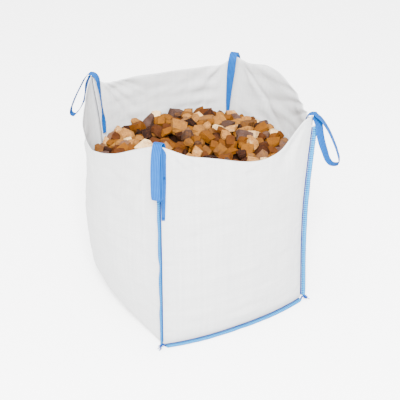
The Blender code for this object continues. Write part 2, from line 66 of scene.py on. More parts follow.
def smooth(knots: Knots, t: Array) -> Array:
    """Cubic Hermite curve through (position, value) knots, with finite-difference slopes.

    Args:
        knots: Positions in rising order, each with its value.
        t: Positions to read.

    Returns:
        The curve's values at t.
    """
    x, y = np.array(knots, dtype=float).T
    t = np.asarray(t, dtype=float)
    slope = np.gradient(y, x)
    i = np.clip(np.searchsorted(x, t) - 1, 0, len(x) - 2)
    h = x[i + 1] - x[i]
    u = (t - x[i]) / h
    start = (1 + 2 * u) * (1 - u) ** 2 * y[i] + u * (1 - u) ** 2 * h * slope[i]
    end = u * u * (3 - 2 * u) * y[i + 1] + u * u * (u - 1) * h * slope[i + 1]
    return start + end


def fade(edge0: float, edge1: float, t: Array) -> Array:
    """Smoothstep of t from 0 at edge0 to 1 at edge1."""
    u = np.clip((np.asarray(t, dtype=float) - edge0) / (edge1 - edge0), 0.0, 1.0)
    return u * u * (3.0 - 2.0 * u)


def value_noise(u: Array, v: Array, seed: int) -> Array:
    """Smooth random field: random lattice values blended with a quintic-like smoothstep.

    Args:
        u: First coordinate, in lattice cells.
        v: Second coordinate, in lattice cells.
        seed: Seed of the lattice.

    Returns:
        Values from -1 to 1.
    """
    lattice = np.random.default_rng(seed).uniform(-1.0, 1.0, (64, 64))
    i, j = np.floor(u).astype(int), np.floor(v).astype(int)
    a, b = u - i, v - j
    a, b = a * a * (3 - 2 * a), b * b * (3 - 2 * b)
    low = lattice[i % 64, j % 64] * (1 - a) + lattice[(i + 1) % 64, j % 64] * a
    high = lattice[i % 64, (j + 1) % 64] * (1 - a) + lattice[(i + 1) % 64, (j + 1) % 64] * a
    return low * (1 - b) + high * b


def ridge_noise(u: Array, v: Array, seed: int) -> Array:
    """Sharp-crested field, 1 on its crests: one less twice the size of a smooth random field."""
    return 1.0 - 2.0 * np.abs(value_noise(u, v, seed))


# ---------------------------------------------------------------- outline of the full bag
class Wall(IntEnum):
    """Walls in counter-clockwise order, each named for the way it faces."""

    FRONT = 0
    RIGHT = 1
    BACK = 2
    LEFT = 3


class Corner(IntEnum):
    """Corners in counter-clockwise order; the wall of the same number starts at each."""

    FRONT_LEFT = 0
    FRONT_RIGHT = 1
    BACK_RIGHT = 2
    BACK_LEFT = 3

    @property
    def label(self) -> str:
        """Lower-case name used in piece names."""
        return self.name.lower()


@dataclass(frozen=True)
class BagOutline:
    """Shape of the full bag's walls; every length is in metres."""

    cloth: float = 0.0020
    ply_gap: float = 0.0008
    fin: float = 0.030
    rim_band: float = 0.055
    seam_lift: float = 0.0050
    corner_round: float = 0.012
    normals: tuple = ((0.0, -1.0), (1.0, 0.0), (0.0, 1.0), (-1.0, 0.0))
    corner_line: tuple = (
        ((0.0, -0.462, -0.468), (0.6, -0.450, -0.452), (1.30, -0.452, -0.455)),
        ((0.0, 0.468, -0.420), (0.6, 0.432, -0.438), (1.30, 0.458, -0.450)),
        ((0.0, 0.455, 0.450), (0.5, 0.435, 0.435), (0.9, 0.420, 0.440), (1.30, 0.465, 0.455)),
        ((0.0, -0.455, 0.440), (0.5, -0.440, 0.425), (0.9, -0.425, 0.440), (1.30, -0.465, 0.450)),
    )
    swell: tuple = (
        ((0.0, 0.058), (0.12, 0.080), (0.45, 0.090), (0.85, 0.075), (1.0, 0.055), (1.30, 0.015)),
        ((0.0, 0.055), (0.15, 0.085), (0.50, 0.100), (0.90, 0.095), (1.1, 0.090), (1.30, 0.085)),
        ((0.0, 0.055), (0.12, 0.080), (0.45, 0.090), (0.85, 0.075), (1.0, 0.055), (1.30, 0.015)),
        ((0.0, 0.088), (0.20, 0.155), (0.47, 0.195), (0.80, 0.188), (1.0, 0.168), (1.15, 0.150),
         (1.30, 0.080)),
    )
    skew: tuple = (1.0, 1.0, 1.0, 0.70)
    power: tuple = (2.4, 2.2, 2.4, 2.2)
    lower_round: tuple = (0.0, 0.095, 0.0, 0.140)
    rim: tuple = (
        ((0.0, 1.235), (0.05, 1.21), (0.15, 1.165), (0.35, 1.11), (0.58, 1.052), (0.70, 1.052),
         (0.80, 1.09), (0.88, 1.16), (0.95, 1.205), (1.0, 1.215)),
        ((0.0, 1.215), (0.08, 1.175), (0.25, 1.19), (0.42, 1.235), (0.58, 1.262), (0.72, 1.262),
         (0.90, 1.24), (1.0, 1.255)),
        ((0.0, 1.255), (0.06, 1.215), (0.20, 1.205), (0.50, 1.21), (0.72, 1.225), (0.86, 1.22),
         (0.94, 1.235), (1.0, 1.285)),
        ((0.0, 1.285), (0.08, 1.22), (0.18, 1.08), (0.30, 1.01), (0.48, 1.03), (0.68, 1.09),
         (0.86, 1.175), (0.95, 1.215), (1.0, 1.235)),
    )

    def corner_xy(self, corner: int, z: Array) -> tuple[Array, Array]:
        """Plan position of a corner seam at height z."""
        line = self.corner_line[corner % 4]
        x = smooth([(height, across) for height, across, _ in line], z)
        y = smooth([(height, along) for height, _, along in line], z)
        return x, y

    def crown(self, wall: int, s: Array) -> Array:
        """Share of the swell at fraction s: one less a power of the distance from the middle."""
        skewed = np.clip(s, 0.0, 1.0) ** self.skew[wall]
        return 1.0 - np.abs(2.0 * skewed - 1.0) ** self.power[wall]

    def point(self, wall: int, s: Array, z: Array) -> Array:
        """Middle surface of a wall.

        The straight line between its two corner seams at height z, pushed out by the swell at that
        height times the crown.

        Args:
            wall: Which wall.
            s: Fraction along the wall from its first corner.
            z: Height.

        Returns:
            Points, one row for each of s and z.
        """
        s, z = np.broadcast_arrays(np.asarray(s, dtype=float), np.asarray(z, dtype=float))
        x0, y0 = self.corner_xy(wall, z)
        x1, y1 = self.corner_xy(wall + 1, z)
        out = smooth(self.swell[wall], z) * self.crown(wall, s)
        x = (1 - s) * x0 + s * x1 + self.normals[wall][0] * out
        y = (1 - s) * y0 + s * y1 + self.normals[wall][1] * out
        return np.stack([x, y, z], axis=-1)

    def rim_height(self, wall: int, s: Array) -> Array:
        """Height of a wall's top edge at fraction s."""
        return smooth(self.rim[wall], s)

    def round_radius(self, wall: int, s: Array) -> Array:
        """Radius of a wall's turn into the bottom at fraction s."""
        return self.corner_round + self.lower_round[wall] * self.crown(wall, s)

    def normal(self, wall: int) -> Array:
        """Plain outward direction of a wall."""
        return np.array([*self.normals[wall], 0.0])

    def seam_out(self, corner: int) -> Array:
        """Direction in which a corner's allowance points: halfway between its two walls' normals."""
        return unit(self.normal((corner - 1) % 4) + self.normal(corner))

    def seam_side(self, corner: int) -> Array:
        """Direction across a corner's seam, from its side wall to its front or back panel."""
        even = corner in (0, 2)
        end_wall = corner if even else (corner - 1) % 4
        side_wall = (corner - 1) % 4 if even else corner
        return unit(self.normal(end_wall) - self.normal(side_wall))

    def corner_top(self, corner: int) -> Array:
        """Top of a corner seam."""
        wall, s = (corner, 0.0) if corner in (0, 2) else (corner - 1, 1.0)
        return self.point(wall, s, self.rim_height(wall, s))


# ---------------------------------------------------------------- meshes from arrays
class Dresser:
    """Makes finished mesh objects from arrays and puts them on their bodies."""

    def __init__(self) -> None:
        """Start with no pieces."""
        self.made: list[bpy.types.Object] = []

    def mesh_object(self, name: str, points: Array, faces: Array, material: bpy.types.Material,
                    uv: Optional[Array] = None, smooth_shaded: bool = True) -> bpy.types.Object:
        """Put a quad or triangle mesh in the scene.

        Args:
            name: Piece name.
            points: Vertex positions.
            faces: Vertex numbers, three or four for each face.
            material: Its finish.
            uv: Cloth coordinates in metres, one for each vertex.
            smooth_shaded: False leaves its faces flat.

        Returns:
            The new object.
        """
        mesh = bpy.data.meshes.new(name)
        corners = faces.shape[1]
        mesh.vertices.add(len(points))
        mesh.vertices.foreach_set("co", np.ascontiguousarray(points, dtype=np.float32).ravel())
        mesh.loops.add(faces.size)
        mesh.loops.foreach_set("vertex_index", np.ascontiguousarray(faces, dtype=np.int32).ravel())
        mesh.polygons.add(len(faces))
        starts = np.arange(0, faces.size, corners, dtype=np.int32)
        mesh.polygons.foreach_set("loop_start", starts)
        mesh.polygons.foreach_set("use_smooth", np.full(len(faces), smooth_shaded))
        mesh.update(calc_edges=True)
        mesh.validate()
        if uv is not None:
            layer = mesh.uv_layers.new(name="cloth")
            layer.data.foreach_set("uv", np.ascontiguousarray(uv[faces.ravel()], dtype=np.float32).ravel())
        mesh.materials.append(material)
        obj = bpy.data.objects.new(name, mesh)
        bpy.context.scene.collection.objects.link(obj)
        self.made.append(obj)
        LOG.info("%s: %d faces", name, len(faces))
        return obj

    def dress(self, obj: bpy.types.Object, body: str,
              nodes: Sequence[str] = ()) -> bpy.types.Object:
        """Put a piece on its body and the frame nodes that it stands for."""
        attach(obj, body)
        if nodes:
            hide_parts(*nodes)
        return obj


def grid_faces(rows: int, columns: int, offset: int = 0, wrap: bool = False) -> Array:
    """Quads of a grid of points, with its last column joined to its first when wrap is set."""
    i, j = np.meshgrid(np.arange(rows - 1), np.arange(columns if wrap else columns - 1), indexing="ij")
    k = (j + 1) % columns
    quads = np.stack([i * columns + j, (i + 1) * columns + j, (i + 1) * columns + k, i * columns + k], -1)
    return quads.reshape(-1, 4) + offset


def grid_normals(grid: Array) -> Array:
    """Unit normals of a grid: the cross product of its differences along rows and columns."""
    return unit(np.cross(np.gradient(grid, axis=0), np.gradient(grid, axis=1)))


def closed_sheet(grid: Array, thickness: Array, uv: Array,
                 kept: Optional[Array] = None) -> tuple[Array, Array, Array]:
    """Close a sheet: the grid moved half the thickness both ways along its normals, joined at its rim.

    The rim is every edge that only one kept cell uses.

    Args:
        grid: Middle points.
        thickness: Thickness, one value or one for each point.
        uv: Cloth coordinates of each point.
        kept: True for each cell that stays.

    Returns:
        Points, quads and cloth coordinates.
    """
    rows, columns = grid.shape[:2]
    half = 0.5 * np.broadcast_to(np.asarray(thickness), (rows, columns))[..., None] * grid_normals(grid)
    points = np.concatenate([(grid + half).reshape(-1, 3), (grid - half).reshape(-1, 3)])
    count = rows * columns
    front = grid_faces(rows, columns)
    if kept is not None:
        front = front[kept.ravel()]
    edges = np.stack([front, np.roll(front, -1, axis=1)], axis=-1).reshape(-1, 2)
    low, high = edges.min(axis=1), edges.max(axis=1)
    inverse, uses = np.unique(low * count + high, return_inverse=True, return_counts=True)[1:]
    alone = edges[uses[inverse] == 1]
    rim = np.stack([alone[:, 1], alone[:, 0], alone[:, 0] + count, alone[:, 1] + count], axis=-1)
    faces = np.concatenate([front, front[:, ::-1] + count, rim])
    used, faces = np.unique(faces, return_inverse=True)
    faces = faces.reshape(-1, 4)
    return points[used], faces, np.tile(uv.reshape(-1, 2), (2, 1))[used]


def swept(path: Array, across: Array, normals: Array, section: Array, closed: bool = False,
          scale: Optional[Array] = None) -> tuple[Array, Array, Array]:
    """Carry a section along a framed path: each point is the path plus its two section coordinates.

    Args:
        path: Points of the path.
        across: Direction of the section's first coordinate at each point.
        normals: Direction of its second coordinate.
        section: Closed outline of (across, normal) pairs.
        closed: True joins the path's end to its start.
        scale: Width factor of the first coordinate at each point.

    Returns:
        Points, quads and (across, along) cloth coordinates in metres.
    """
    rows, count = len(path), len(section)
    factor = np.ones(rows) if scale is None else scale
    wide = section[None, :, :1] * factor[:, None, None] * across[:, None]
    points = path[:, None] + wide + section[None, :, 1:] * normals[:, None]
    steps = np.linalg.norm(np.diff(path, axis=0), axis=1)
    along = np.concatenate([[0.0], np.cumsum(steps)])
    uv = np.stack(np.broadcast_arrays(section[None, :, 0], along[:, None]), axis=-1)
    faces = grid_faces(rows, count, wrap=True)
    if closed:
        last = (rows - 1) * count + np.arange(count)
        first = np.arange(count)
        joint = np.stack([last, first, np.roll(first, -1), np.roll(last, -1)], axis=-1)
        return points.reshape(-1, 3), np.concatenate([faces, joint]), uv.reshape(-1, 2)
    middle = points.mean(axis=1)[[0, -1]]
    points = np.concatenate([points.reshape(-1, 3), middle])
    uv = np.concatenate([uv.reshape(-1, 2), [[0.0, along[0]], [0.0, along[-1]]]])
    first, last = np.arange(count), (rows - 1) * count + np.arange(count)
    centre, tip = np.full(count, rows * count), np.full(count, rows * count + 1)
    caps = [np.stack([first, np.roll(first, -1), centre, centre], axis=-1),
            np.stack([np.roll(last, -1), last, tip, tip], axis=-1)]
    return points, np.concatenate([faces, *caps]), uv


def tidy_faces(obj: bpy.types.Object) -> bpy.types.Object:
    """Merge doubled points, drop empty faces and turn every face outwards."""
    body = bmesh.new()
    body.from_mesh(obj.data)
    bmesh.ops.remove_doubles(body, verts=body.verts, dist=1.0e-6)
    bmesh.ops.dissolve_degenerate(body, edges=body.edges, dist=1.0e-7)
    bmesh.ops.recalc_face_normals(body, faces=body.faces)
    body.to_mesh(obj.data)
    body.free()
    return obj


def rounded_strip(width: float, thickness: float, steps: int = 5) -> Array:
    """Section of flat webbing: straight faces with half-round selvedges."""
    turn = np.linspace(-0.5 * math.pi, 0.5 * math.pi, steps)
    radius = 0.5 * thickness
    right = np.stack([0.5 * width - radius + radius * np.cos(turn), radius * np.sin(turn)], axis=-1)
    top = np.stack([np.linspace(0.3, -0.3, 4) * width, np.full(4, radius)], axis=-1)
    bottom = np.stack([np.linspace(-0.3, 0.3, 4) * width, np.full(4, -radius)], axis=-1)
    return np.concatenate([right, top, -right, bottom])


def round_section(radius: float, sides: int = 6) -> Array:
    """Round section of a thread."""
    turn = np.arange(sides) * 2.0 * math.pi / sides
    return radius * np.stack([np.cos(turn), np.sin(turn)], axis=-1)


def spline(points: Array, count: int, *carried: Array) -> tuple[Array, ...]:
    """Smooth line through given points, resampled to even steps along its length.

    Args:
        points: Given points.
        count: Number of points to return.
        carried: Direction at each given point, resampled in the same way and scaled to length 1.

    Returns:
        The line, then each carried direction.
    """
    points = np.asarray(points, dtype=float)
    knots = np.concatenate([[0.0], np.cumsum(np.linalg.norm(np.diff(points, axis=0), axis=1))])
    t = np.linspace(0.0, knots[-1], 12 * count)
    line = np.stack([smooth(list(zip(knots, column)), t) for column in points.T], axis=-1)
    length = np.concatenate([[0.0], np.cumsum(np.linalg.norm(np.diff(line, axis=0), axis=1))])
    even = np.linspace(0.0, length[-1], count)
    place = np.interp(even, length, t)
    result = [np.stack([np.interp(even, length, column) for column in line.T], axis=-1)]
    for direction in carried:
        columns = [np.interp(place, knots, column) for column in np.asarray(direction).T]
        result.append(unit(np.stack(columns, axis=-1)))
    return tuple(result)


# ---------------------------------------------------------------- shared material groups
class Nodes:
    """Short way to add and join the nodes of one tree."""

    def __init__(self, tree: bpy.types.NodeTree) -> None:
        """Keep the tree."""
        self.tree = tree

    def add(self, kind: str, label: str = "", **settings: object) -> bpy.types.Node:
        """Add a node; settings are its properties, or input values when the name starts with in_."""
        node = self.tree.nodes.new(kind)
        node.label = label
        for name, value in settings.items():
            if name.startswith("in_"):
                key = name[3:]
                node.inputs[int(key) if key.isdigit() else key.replace("_", " ")].default_value = value
            else:
                setattr(node, name, value)
        return node

    def link(self, source: bpy.types.NodeSocket, target: bpy.types.NodeSocket) -> None:
        """Join two sockets."""
        self.tree.links.new(source, target)

    def math(self, operation: str, first: object, second: object = 0.0,
             clamp: bool = False) -> bpy.types.NodeSocket:
        """Math node on two values or sockets."""
        node = self.add("ShaderNodeMath", operation=operation, use_clamp=clamp)
        for index, value in enumerate((first, second)):
            if isinstance(value, bpy.types.NodeSocket):
                self.link(value, node.inputs[index])
            else:
                node.inputs[index].default_value = value
        return node.outputs[0]

    def mix(self, factor: object, first: object, second: object,
            blend: str = "MIX") -> bpy.types.NodeSocket:
        """Mix two colours or sockets by a factor."""
        node = self.add("ShaderNodeMix", data_type="RGBA", blend_type=blend)
        for socket, value in ((node.inputs[0], factor), (node.inputs[6], first), (node.inputs[7], second)):
            if isinstance(value, bpy.types.NodeSocket):
                self.link(value, socket)
            elif isinstance(value, (int, float)):
                socket.default_value = value
            else:
                socket.default_value = (*value, 1.0)
        return node.outputs[2]


def new_group(name: str, inputs: dict, outputs: dict) -> tuple[bpy.types.NodeTree, Nodes, object, object]:
    """Start a shader node group.

    Args:
        name: Group name.
        inputs: Socket name to (socket type, default).
        outputs: Socket name to socket type.

    Returns:
        The tree, its node helper, its input node and its output node.
    """
    tree = bpy.data.node_groups.new(name, "ShaderNodeTree")
    for label, (kind, default) in inputs.items():
        socket = tree.interface.new_socket(label, in_out="INPUT", socket_type=kind)
        if default is not None:
            socket.default_value = default
    for label, kind in outputs.items():
        tree.interface.new_socket(label, in_out="OUTPUT", socket_type=kind)
    nodes = Nodes(tree)
    return tree, nodes, nodes.add("NodeGroupInput"), nodes.add("NodeGroupOutput")


def tape_weave_group() -> bpy.types.NodeTree:
    """Plain weave of flat tapes: two crossed rounded waves, swapped in a checker of the pitch."""
    tree, n, start, end = new_group(
        "tape_weave",
        {"Vector": ("NodeSocketVector", None), "Pitch": ("NodeSocketFloat", 0.0025)},
        {"Height": "NodeSocketFloat", "Gap": "NodeSocketFloat"})
    split = n.add("ShaderNodeSeparateXYZ")
    n.link(start.outputs["Vector"], split.inputs[0])
    rate = n.math("DIVIDE", math.pi, start.outputs["Pitch"])
    phase_u = n.math("MULTIPLY", split.outputs[0], rate)
    phase_v = n.math("MULTIPLY", split.outputs[1], rate)
    over_u = n.math("ABSOLUTE", n.math("SINE", phase_u))
    over_v = n.math("ABSOLUTE", n.math("SINE", phase_v))
    checker = n.math("MULTIPLY", n.math("SINE", phase_u), n.math("SINE", phase_v))
    swap = n.math("GREATER_THAN", checker, 0.0)
    warp = n.math("MULTIPLY", n.math("POWER", over_u, 0.35), n.math("SUBTRACT", 1.0, swap))
    weft = n.math("MULTIPLY", n.math("POWER", over_v, 0.35), swap)
    n.link(n.math("ADD", warp, weft), end.inputs["Height"])
    gap = n.math("MULTIPLY", n.math("LESS_THAN", over_u, 0.14), n.math("LESS_THAN", over_v, 0.14))
    n.link(gap, end.inputs["Gap"])
    return tree


def soiling_group() -> bpy.types.NodeTree:
    """Dust and handling marks: two sizes of noise and a band that fades up from the ground."""
    tree, n, start, end = new_group(
        "soiling",
        {"Vector": ("NodeSocketVector", None), "Ground Height": ("NodeSocketFloat", 0.12),
         "Amount": ("NodeSocketFloat", 0.3)},
        {"Mask": "NodeSocketFloat"})
    split = n.add("ShaderNodeSeparateXYZ")
    n.link(start.outputs["Vector"], split.inputs[0])
    height = n.math("DIVIDE", split.outputs[2], start.outputs["Ground Height"])
    near_ground = n.math("POWER", n.math("SUBTRACT", 1.0, height, clamp=True), 1.6)
    broad = n.add("ShaderNodeTexNoise", in_Scale=5.0, in_Detail=5.0, in_Roughness=0.62)
    fine = n.add("ShaderNodeTexNoise", in_Scale=42.0, in_Detail=3.0)
    n.link(start.outputs["Vector"], broad.inputs["Vector"])
    n.link(start.outputs["Vector"], fine.inputs["Vector"])
    patch = n.math("MULTIPLY", n.math("SUBTRACT", broad.outputs["Fac"], 0.5, clamp=True), 1.6)
    speck = n.math("MULTIPLY", n.math("SUBTRACT", fine.outputs["Fac"], 0.62, clamp=True), 2.0)
    base = n.math("MULTIPLY", near_ground, n.math("ADD", n.math("MULTIPLY", broad.outputs["Fac"], 0.9), 0.1))
    total = n.math("ADD", n.math("ADD", base, patch), speck)
    n.link(n.math("MULTIPLY", total, start.outputs["Amount"], clamp=True), end.inputs["Mask"])
    return tree


class Groups:
    """The node groups, each built once."""

    def __init__(self) -> None:
        """Build every group."""
        self.weave = tape_weave_group()
        self.soiling = soiling_group()


@dataclass(frozen=True)
class Finish:
    """Base of every finish: a named Principled material with plain shader constants."""

    name: str
    roughness: float = 0.6
    sheen: float = 0.0
    specular: float = 0.5

    def start(self) -> tuple[bpy.types.Material, Nodes, bpy.types.Node]:
        """Make the material and set its constants on the shader's own sockets."""
        material = bpy.data.materials.new(self.name)
        material.use_nodes = True
        nodes = Nodes(material.node_tree)
        shader = material.node_tree.nodes["Principled BSDF"]
        shader.inputs["Roughness"].default_value = self.roughness
        shader.inputs["Sheen Weight"].default_value = self.sheen
        shader.inputs["Specular IOR Level"].default_value = self.specular
        return material, nodes, shader


@dataclass(frozen=True)
class TapeCloth(Finish):
    """White woven tape cloth with faint tape-to-tape shade, soil near the ground and a weave bump."""

    colour: tuple = (0.43, 0.43, 0.425)
    shade: tuple = (0.375, 0.377, 0.38)
    soil: tuple = (0.29, 0.26, 0.22)
    pitch: float = 0.0028
    weave_depth: float = 0.00025
    soil_amount: float = 0.22

    def material(self, groups: Groups) -> bpy.types.Material:
        """Build the material."""
        material, n, shader = self.start()
        uv = n.add("ShaderNodeUVMap", uv_map="cloth")
        place = n.add("ShaderNodeTexCoord")
        weave = n.add("ShaderNodeGroup", node_tree=groups.weave, in_Pitch=self.pitch)
        n.link(uv.outputs[0], weave.inputs["Vector"])
        soil = n.add("ShaderNodeGroup", node_tree=groups.soiling, in_Amount=self.soil_amount)
        n.link(place.outputs["Object"], soil.inputs["Vector"])
        stripes = n.add("ShaderNodeTexNoise", noise_dimensions="2D", in_Scale=1.0, in_Detail=2.0)
        stretch = n.add("ShaderNodeMapping", in_Scale=(55.0, 1.3, 1.0))
        n.link(uv.outputs[0], stretch.inputs["Vector"])
        n.link(stretch.outputs[0], stripes.inputs["Vector"])
        cross = n.add("ShaderNodeTexNoise", noise_dimensions="2D", in_Scale=1.0, in_Detail=2.0)
        turned = n.add("ShaderNodeMapping", in_Scale=(1.1, 60.0, 1.0))
        n.link(uv.outputs[0], turned.inputs["Vector"])
        n.link(turned.outputs[0], cross.inputs["Vector"])
        tone = n.math("ADD", n.math("MULTIPLY", stripes.outputs["Fac"], 0.6),
                      n.math("MULTIPLY", cross.outputs["Fac"], 0.4))
        sharper = n.math("MULTIPLY", n.math("SUBTRACT", tone, 0.38), 2.4, clamp=True)
        cloth = n.mix(sharper, self.shade, self.colour)
        gaps = n.mix(n.math("MULTIPLY", weave.outputs["Gap"], 0.35), cloth, (0.22, 0.22, 0.22))
        n.link(n.mix(soil.outputs["Mask"], gaps, self.soil), shader.inputs["Base Color"])
        rough = n.math("ADD", n.math("MULTIPLY", stripes.outputs["Fac"], 0.18), self.roughness - 0.09)
        n.link(rough, shader.inputs["Roughness"])
        pucker = n.add("ShaderNodeTexNoise", in_Scale=17.0, in_Detail=5.0, in_Distortion=0.8)
        n.link(place.outputs["Object"], pucker.inputs["Vector"])
        coarse = n.add("ShaderNodeBump", in_Strength=0.7, in_Distance=0.0045)
        n.link(pucker.outputs["Fac"], coarse.inputs["Height"])
        fine = n.add("ShaderNodeBump", in_Strength=0.55, in_Distance=self.weave_depth)
        n.link(weave.outputs["Height"], fine.inputs["Height"])
        n.link(coarse.outputs[0], fine.inputs["Normal"])
        n.link(fine.outputs[0], shader.inputs["Normal"])
        return material


@dataclass(frozen=True)
class RibbedWebbing(Finish):
    """Blue lifting webbing: lengthwise ribs and a slanted twill across them, with painted shade in the rib
    valleys and a painted highlight on the rib crests, broken up by noise.
    """

    # colour is the webbing's own blue; pale is a painted highlight for the rib crests and deep a painted
    # shade for the rib valleys
    colour: tuple = (0.0010, 0.044, 0.190)
    pale: tuple = (0.0040, 0.094, 0.300)
    deep: tuple = (0.0005, 0.011, 0.062)
    rib: float = 0.0085
    twill: float = 0.0030

    def material(self, groups: Groups) -> bpy.types.Material:
        """Build the material."""
        material, n, shader = self.start()
        uv = n.add("ShaderNodeUVMap", uv_map="cloth")
        split = n.add("ShaderNodeSeparateXYZ")
        n.link(uv.outputs[0], split.inputs[0])
        ribs = n.math("ABSOLUTE", n.math("SINE", n.math("MULTIPLY", split.outputs[0], math.pi / self.rib)))
        slant = n.math("ADD", split.outputs[1], n.math("MULTIPLY", ribs, 0.25 * self.rib))
        twill = n.math("ABSOLUTE", n.math("SINE", n.math("MULTIPLY", slant, math.pi / self.twill)))
        height = n.math("ADD", n.math("MULTIPLY", ribs, 0.7), n.math("MULTIPLY", twill, 0.3))
        place = n.add("ShaderNodeTexCoord")
        # noise that breaks up the painted highlight on the rib crests
        crest_highlight_noise = n.add("ShaderNodeTexNoise", in_Scale=30.0, in_Detail=4.0)
        n.link(place.outputs["Object"], crest_highlight_noise.inputs["Vector"])
        # painted highlight: the pale colour on the rib crests
        crest_highlight = n.math("MULTIPLY", n.math("POWER", ribs, 2.0), n.math("ADD", crest_highlight_noise.outputs["Fac"], 0.05))
        # painted shade: the deep colour in the rib valleys
        body = n.mix(n.math("MULTIPLY", n.math("SUBTRACT", 1.0, ribs), 0.75), self.colour, self.deep)
        n.link(n.mix(n.math("MULTIPLY", crest_highlight, 0.75), body, self.pale), shader.inputs["Base Color"])
        bump = n.add("ShaderNodeBump", in_Strength=0.8, in_Distance=0.0007)
        n.link(height, bump.inputs["Height"])
        n.link(bump.outputs[0], shader.inputs["Normal"])
        return material


@dataclass(frozen=True)
class SpunThread(Finish):
    """Twisted sewing thread: slanted plies along its length and a little shade from run to run."""

    colour: tuple = (0.0008, 0.015, 0.095)
    light: tuple = (0.0020, 0.036, 0.210)
    ply: float = 0.0016

    def material(self, groups: Groups) -> bpy.types.Material:
        """Build the material."""
        material, n, shader = self.start()
        place = n.add("ShaderNodeTexCoord")
        split = n.add("ShaderNodeSeparateXYZ")
        n.link(place.outputs["Object"], split.inputs[0])
        run = n.math("ADD", n.math("ADD", split.outputs[0], split.outputs[1]), split.outputs[2])
        ply = n.math("ABSOLUTE", n.math("SINE", n.math("MULTIPLY", run, math.pi / self.ply)))
        fuzz = n.add("ShaderNodeTexNoise", in_Scale=160.0, in_Detail=3.0)
        n.link(place.outputs["Object"], fuzz.inputs["Vector"])
        blend = n.math("MULTIPLY", n.math("ADD", ply, fuzz.outputs["Fac"]), 0.5)
        n.link(n.mix(blend, self.colour, self.light), shader.inputs["Base Color"])
        bump = n.add("ShaderNodeBump", in_Strength=0.6, in_Distance=0.0004)
        n.link(ply, bump.inputs["Height"])
        n.link(bump.outputs[0], shader.inputs["Normal"])
        return material


@dataclass(frozen=True)
class CrushedStone(Finish):
    """Broken stone: each piece takes a tone from its own number, darkened on the lower layers and the heap
    as painted shade, then mottling, veins and dust.
    """

    palette: tuple = (
        (0.00, (0.003, 0.0015, 0.001)), (0.10, (0.012, 0.004, 0.002)), (0.22, (0.038, 0.011, 0.002)),
        (0.36, (0.075, 0.024, 0.0015)), (0.50, (0.110, 0.040, 0.003)), (0.60, (0.026, 0.014, 0.010)),
        (0.68, (0.055, 0.032, 0.026)), (0.78, (0.140, 0.058, 0.010)), (0.89, (0.230, 0.105, 0.028)),
        (0.97, (0.46, 0.32, 0.16)))

    def material(self, groups: Groups) -> bpy.types.Material:
        """Build the material."""
        material, n, shader = self.start()
        place = n.add("ShaderNodeTexCoord")
        # the tone attribute is each stone's random tone, darkened on lower layers and on the heap as painted
        # shade
        tone = n.add("ShaderNodeAttribute", attribute_name="stone_tone_and_shade")
        mottle = n.add("ShaderNodeTexNoise", in_Scale=34.0, in_Detail=6.0, in_Roughness=0.65)
        n.link(place.outputs["Object"], mottle.inputs["Vector"])
        shift = n.math("MULTIPLY", n.math("SUBTRACT", mottle.outputs["Fac"], 0.5), 0.20)
        ramp = n.add("ShaderNodeValToRGB")
        ramp.color_ramp.interpolation = "LINEAR"
        for index, (position, colour) in enumerate(self.palette):
            stop = ramp.color_ramp.elements[index] if index < 2 else ramp.color_ramp.elements.new(position)
            stop.position = position
            stop.color = (*colour, 1.0)
        n.link(n.math("ADD", tone.outputs["Fac"], shift, clamp=True), ramp.inputs[0])
        veins = n.add("ShaderNodeTexNoise", in_Scale=20.0, in_Detail=2.0, in_Distortion=2.5)
        n.link(place.outputs["Object"], veins.inputs["Vector"])
        line = n.math("SUBTRACT", 1.0, n.math("MULTIPLY", n.math("ABSOLUTE", n.math(
            "SUBTRACT", veins.outputs["Fac"], 0.5)), 26.0), clamp=True)
        rust = n.mix(n.math("MULTIPLY", line, 0.55), ramp.outputs[0], (0.045, 0.016, 0.006))
        grit = n.add("ShaderNodeTexNoise", in_Scale=210.0, in_Detail=4.0)
        n.link(place.outputs["Object"], grit.inputs["Vector"])
        n.link(n.mix(n.math("MULTIPLY", grit.outputs["Fac"], 0.35), rust, (0.42, 0.33, 0.25), "OVERLAY"),
               shader.inputs["Base Color"])
        rough = n.math("ADD", n.math("MULTIPLY", mottle.outputs["Fac"], 0.35), 0.55, clamp=True)
        n.link(rough, shader.inputs["Roughness"])
        coarse = n.add("ShaderNodeBump", in_Strength=0.7, in_Distance=0.004)
        n.link(mottle.outputs["Fac"], coarse.inputs["Height"])
        fine = n.add("ShaderNodeBump", in_Strength=0.5, in_Distance=0.0008)
        n.link(grit.outputs["Fac"], fine.inputs["Height"])
        n.link(coarse.outputs[0], fine.inputs["Normal"])
        n.link(fine.outputs[0], shader.inputs["Normal"])
        return material


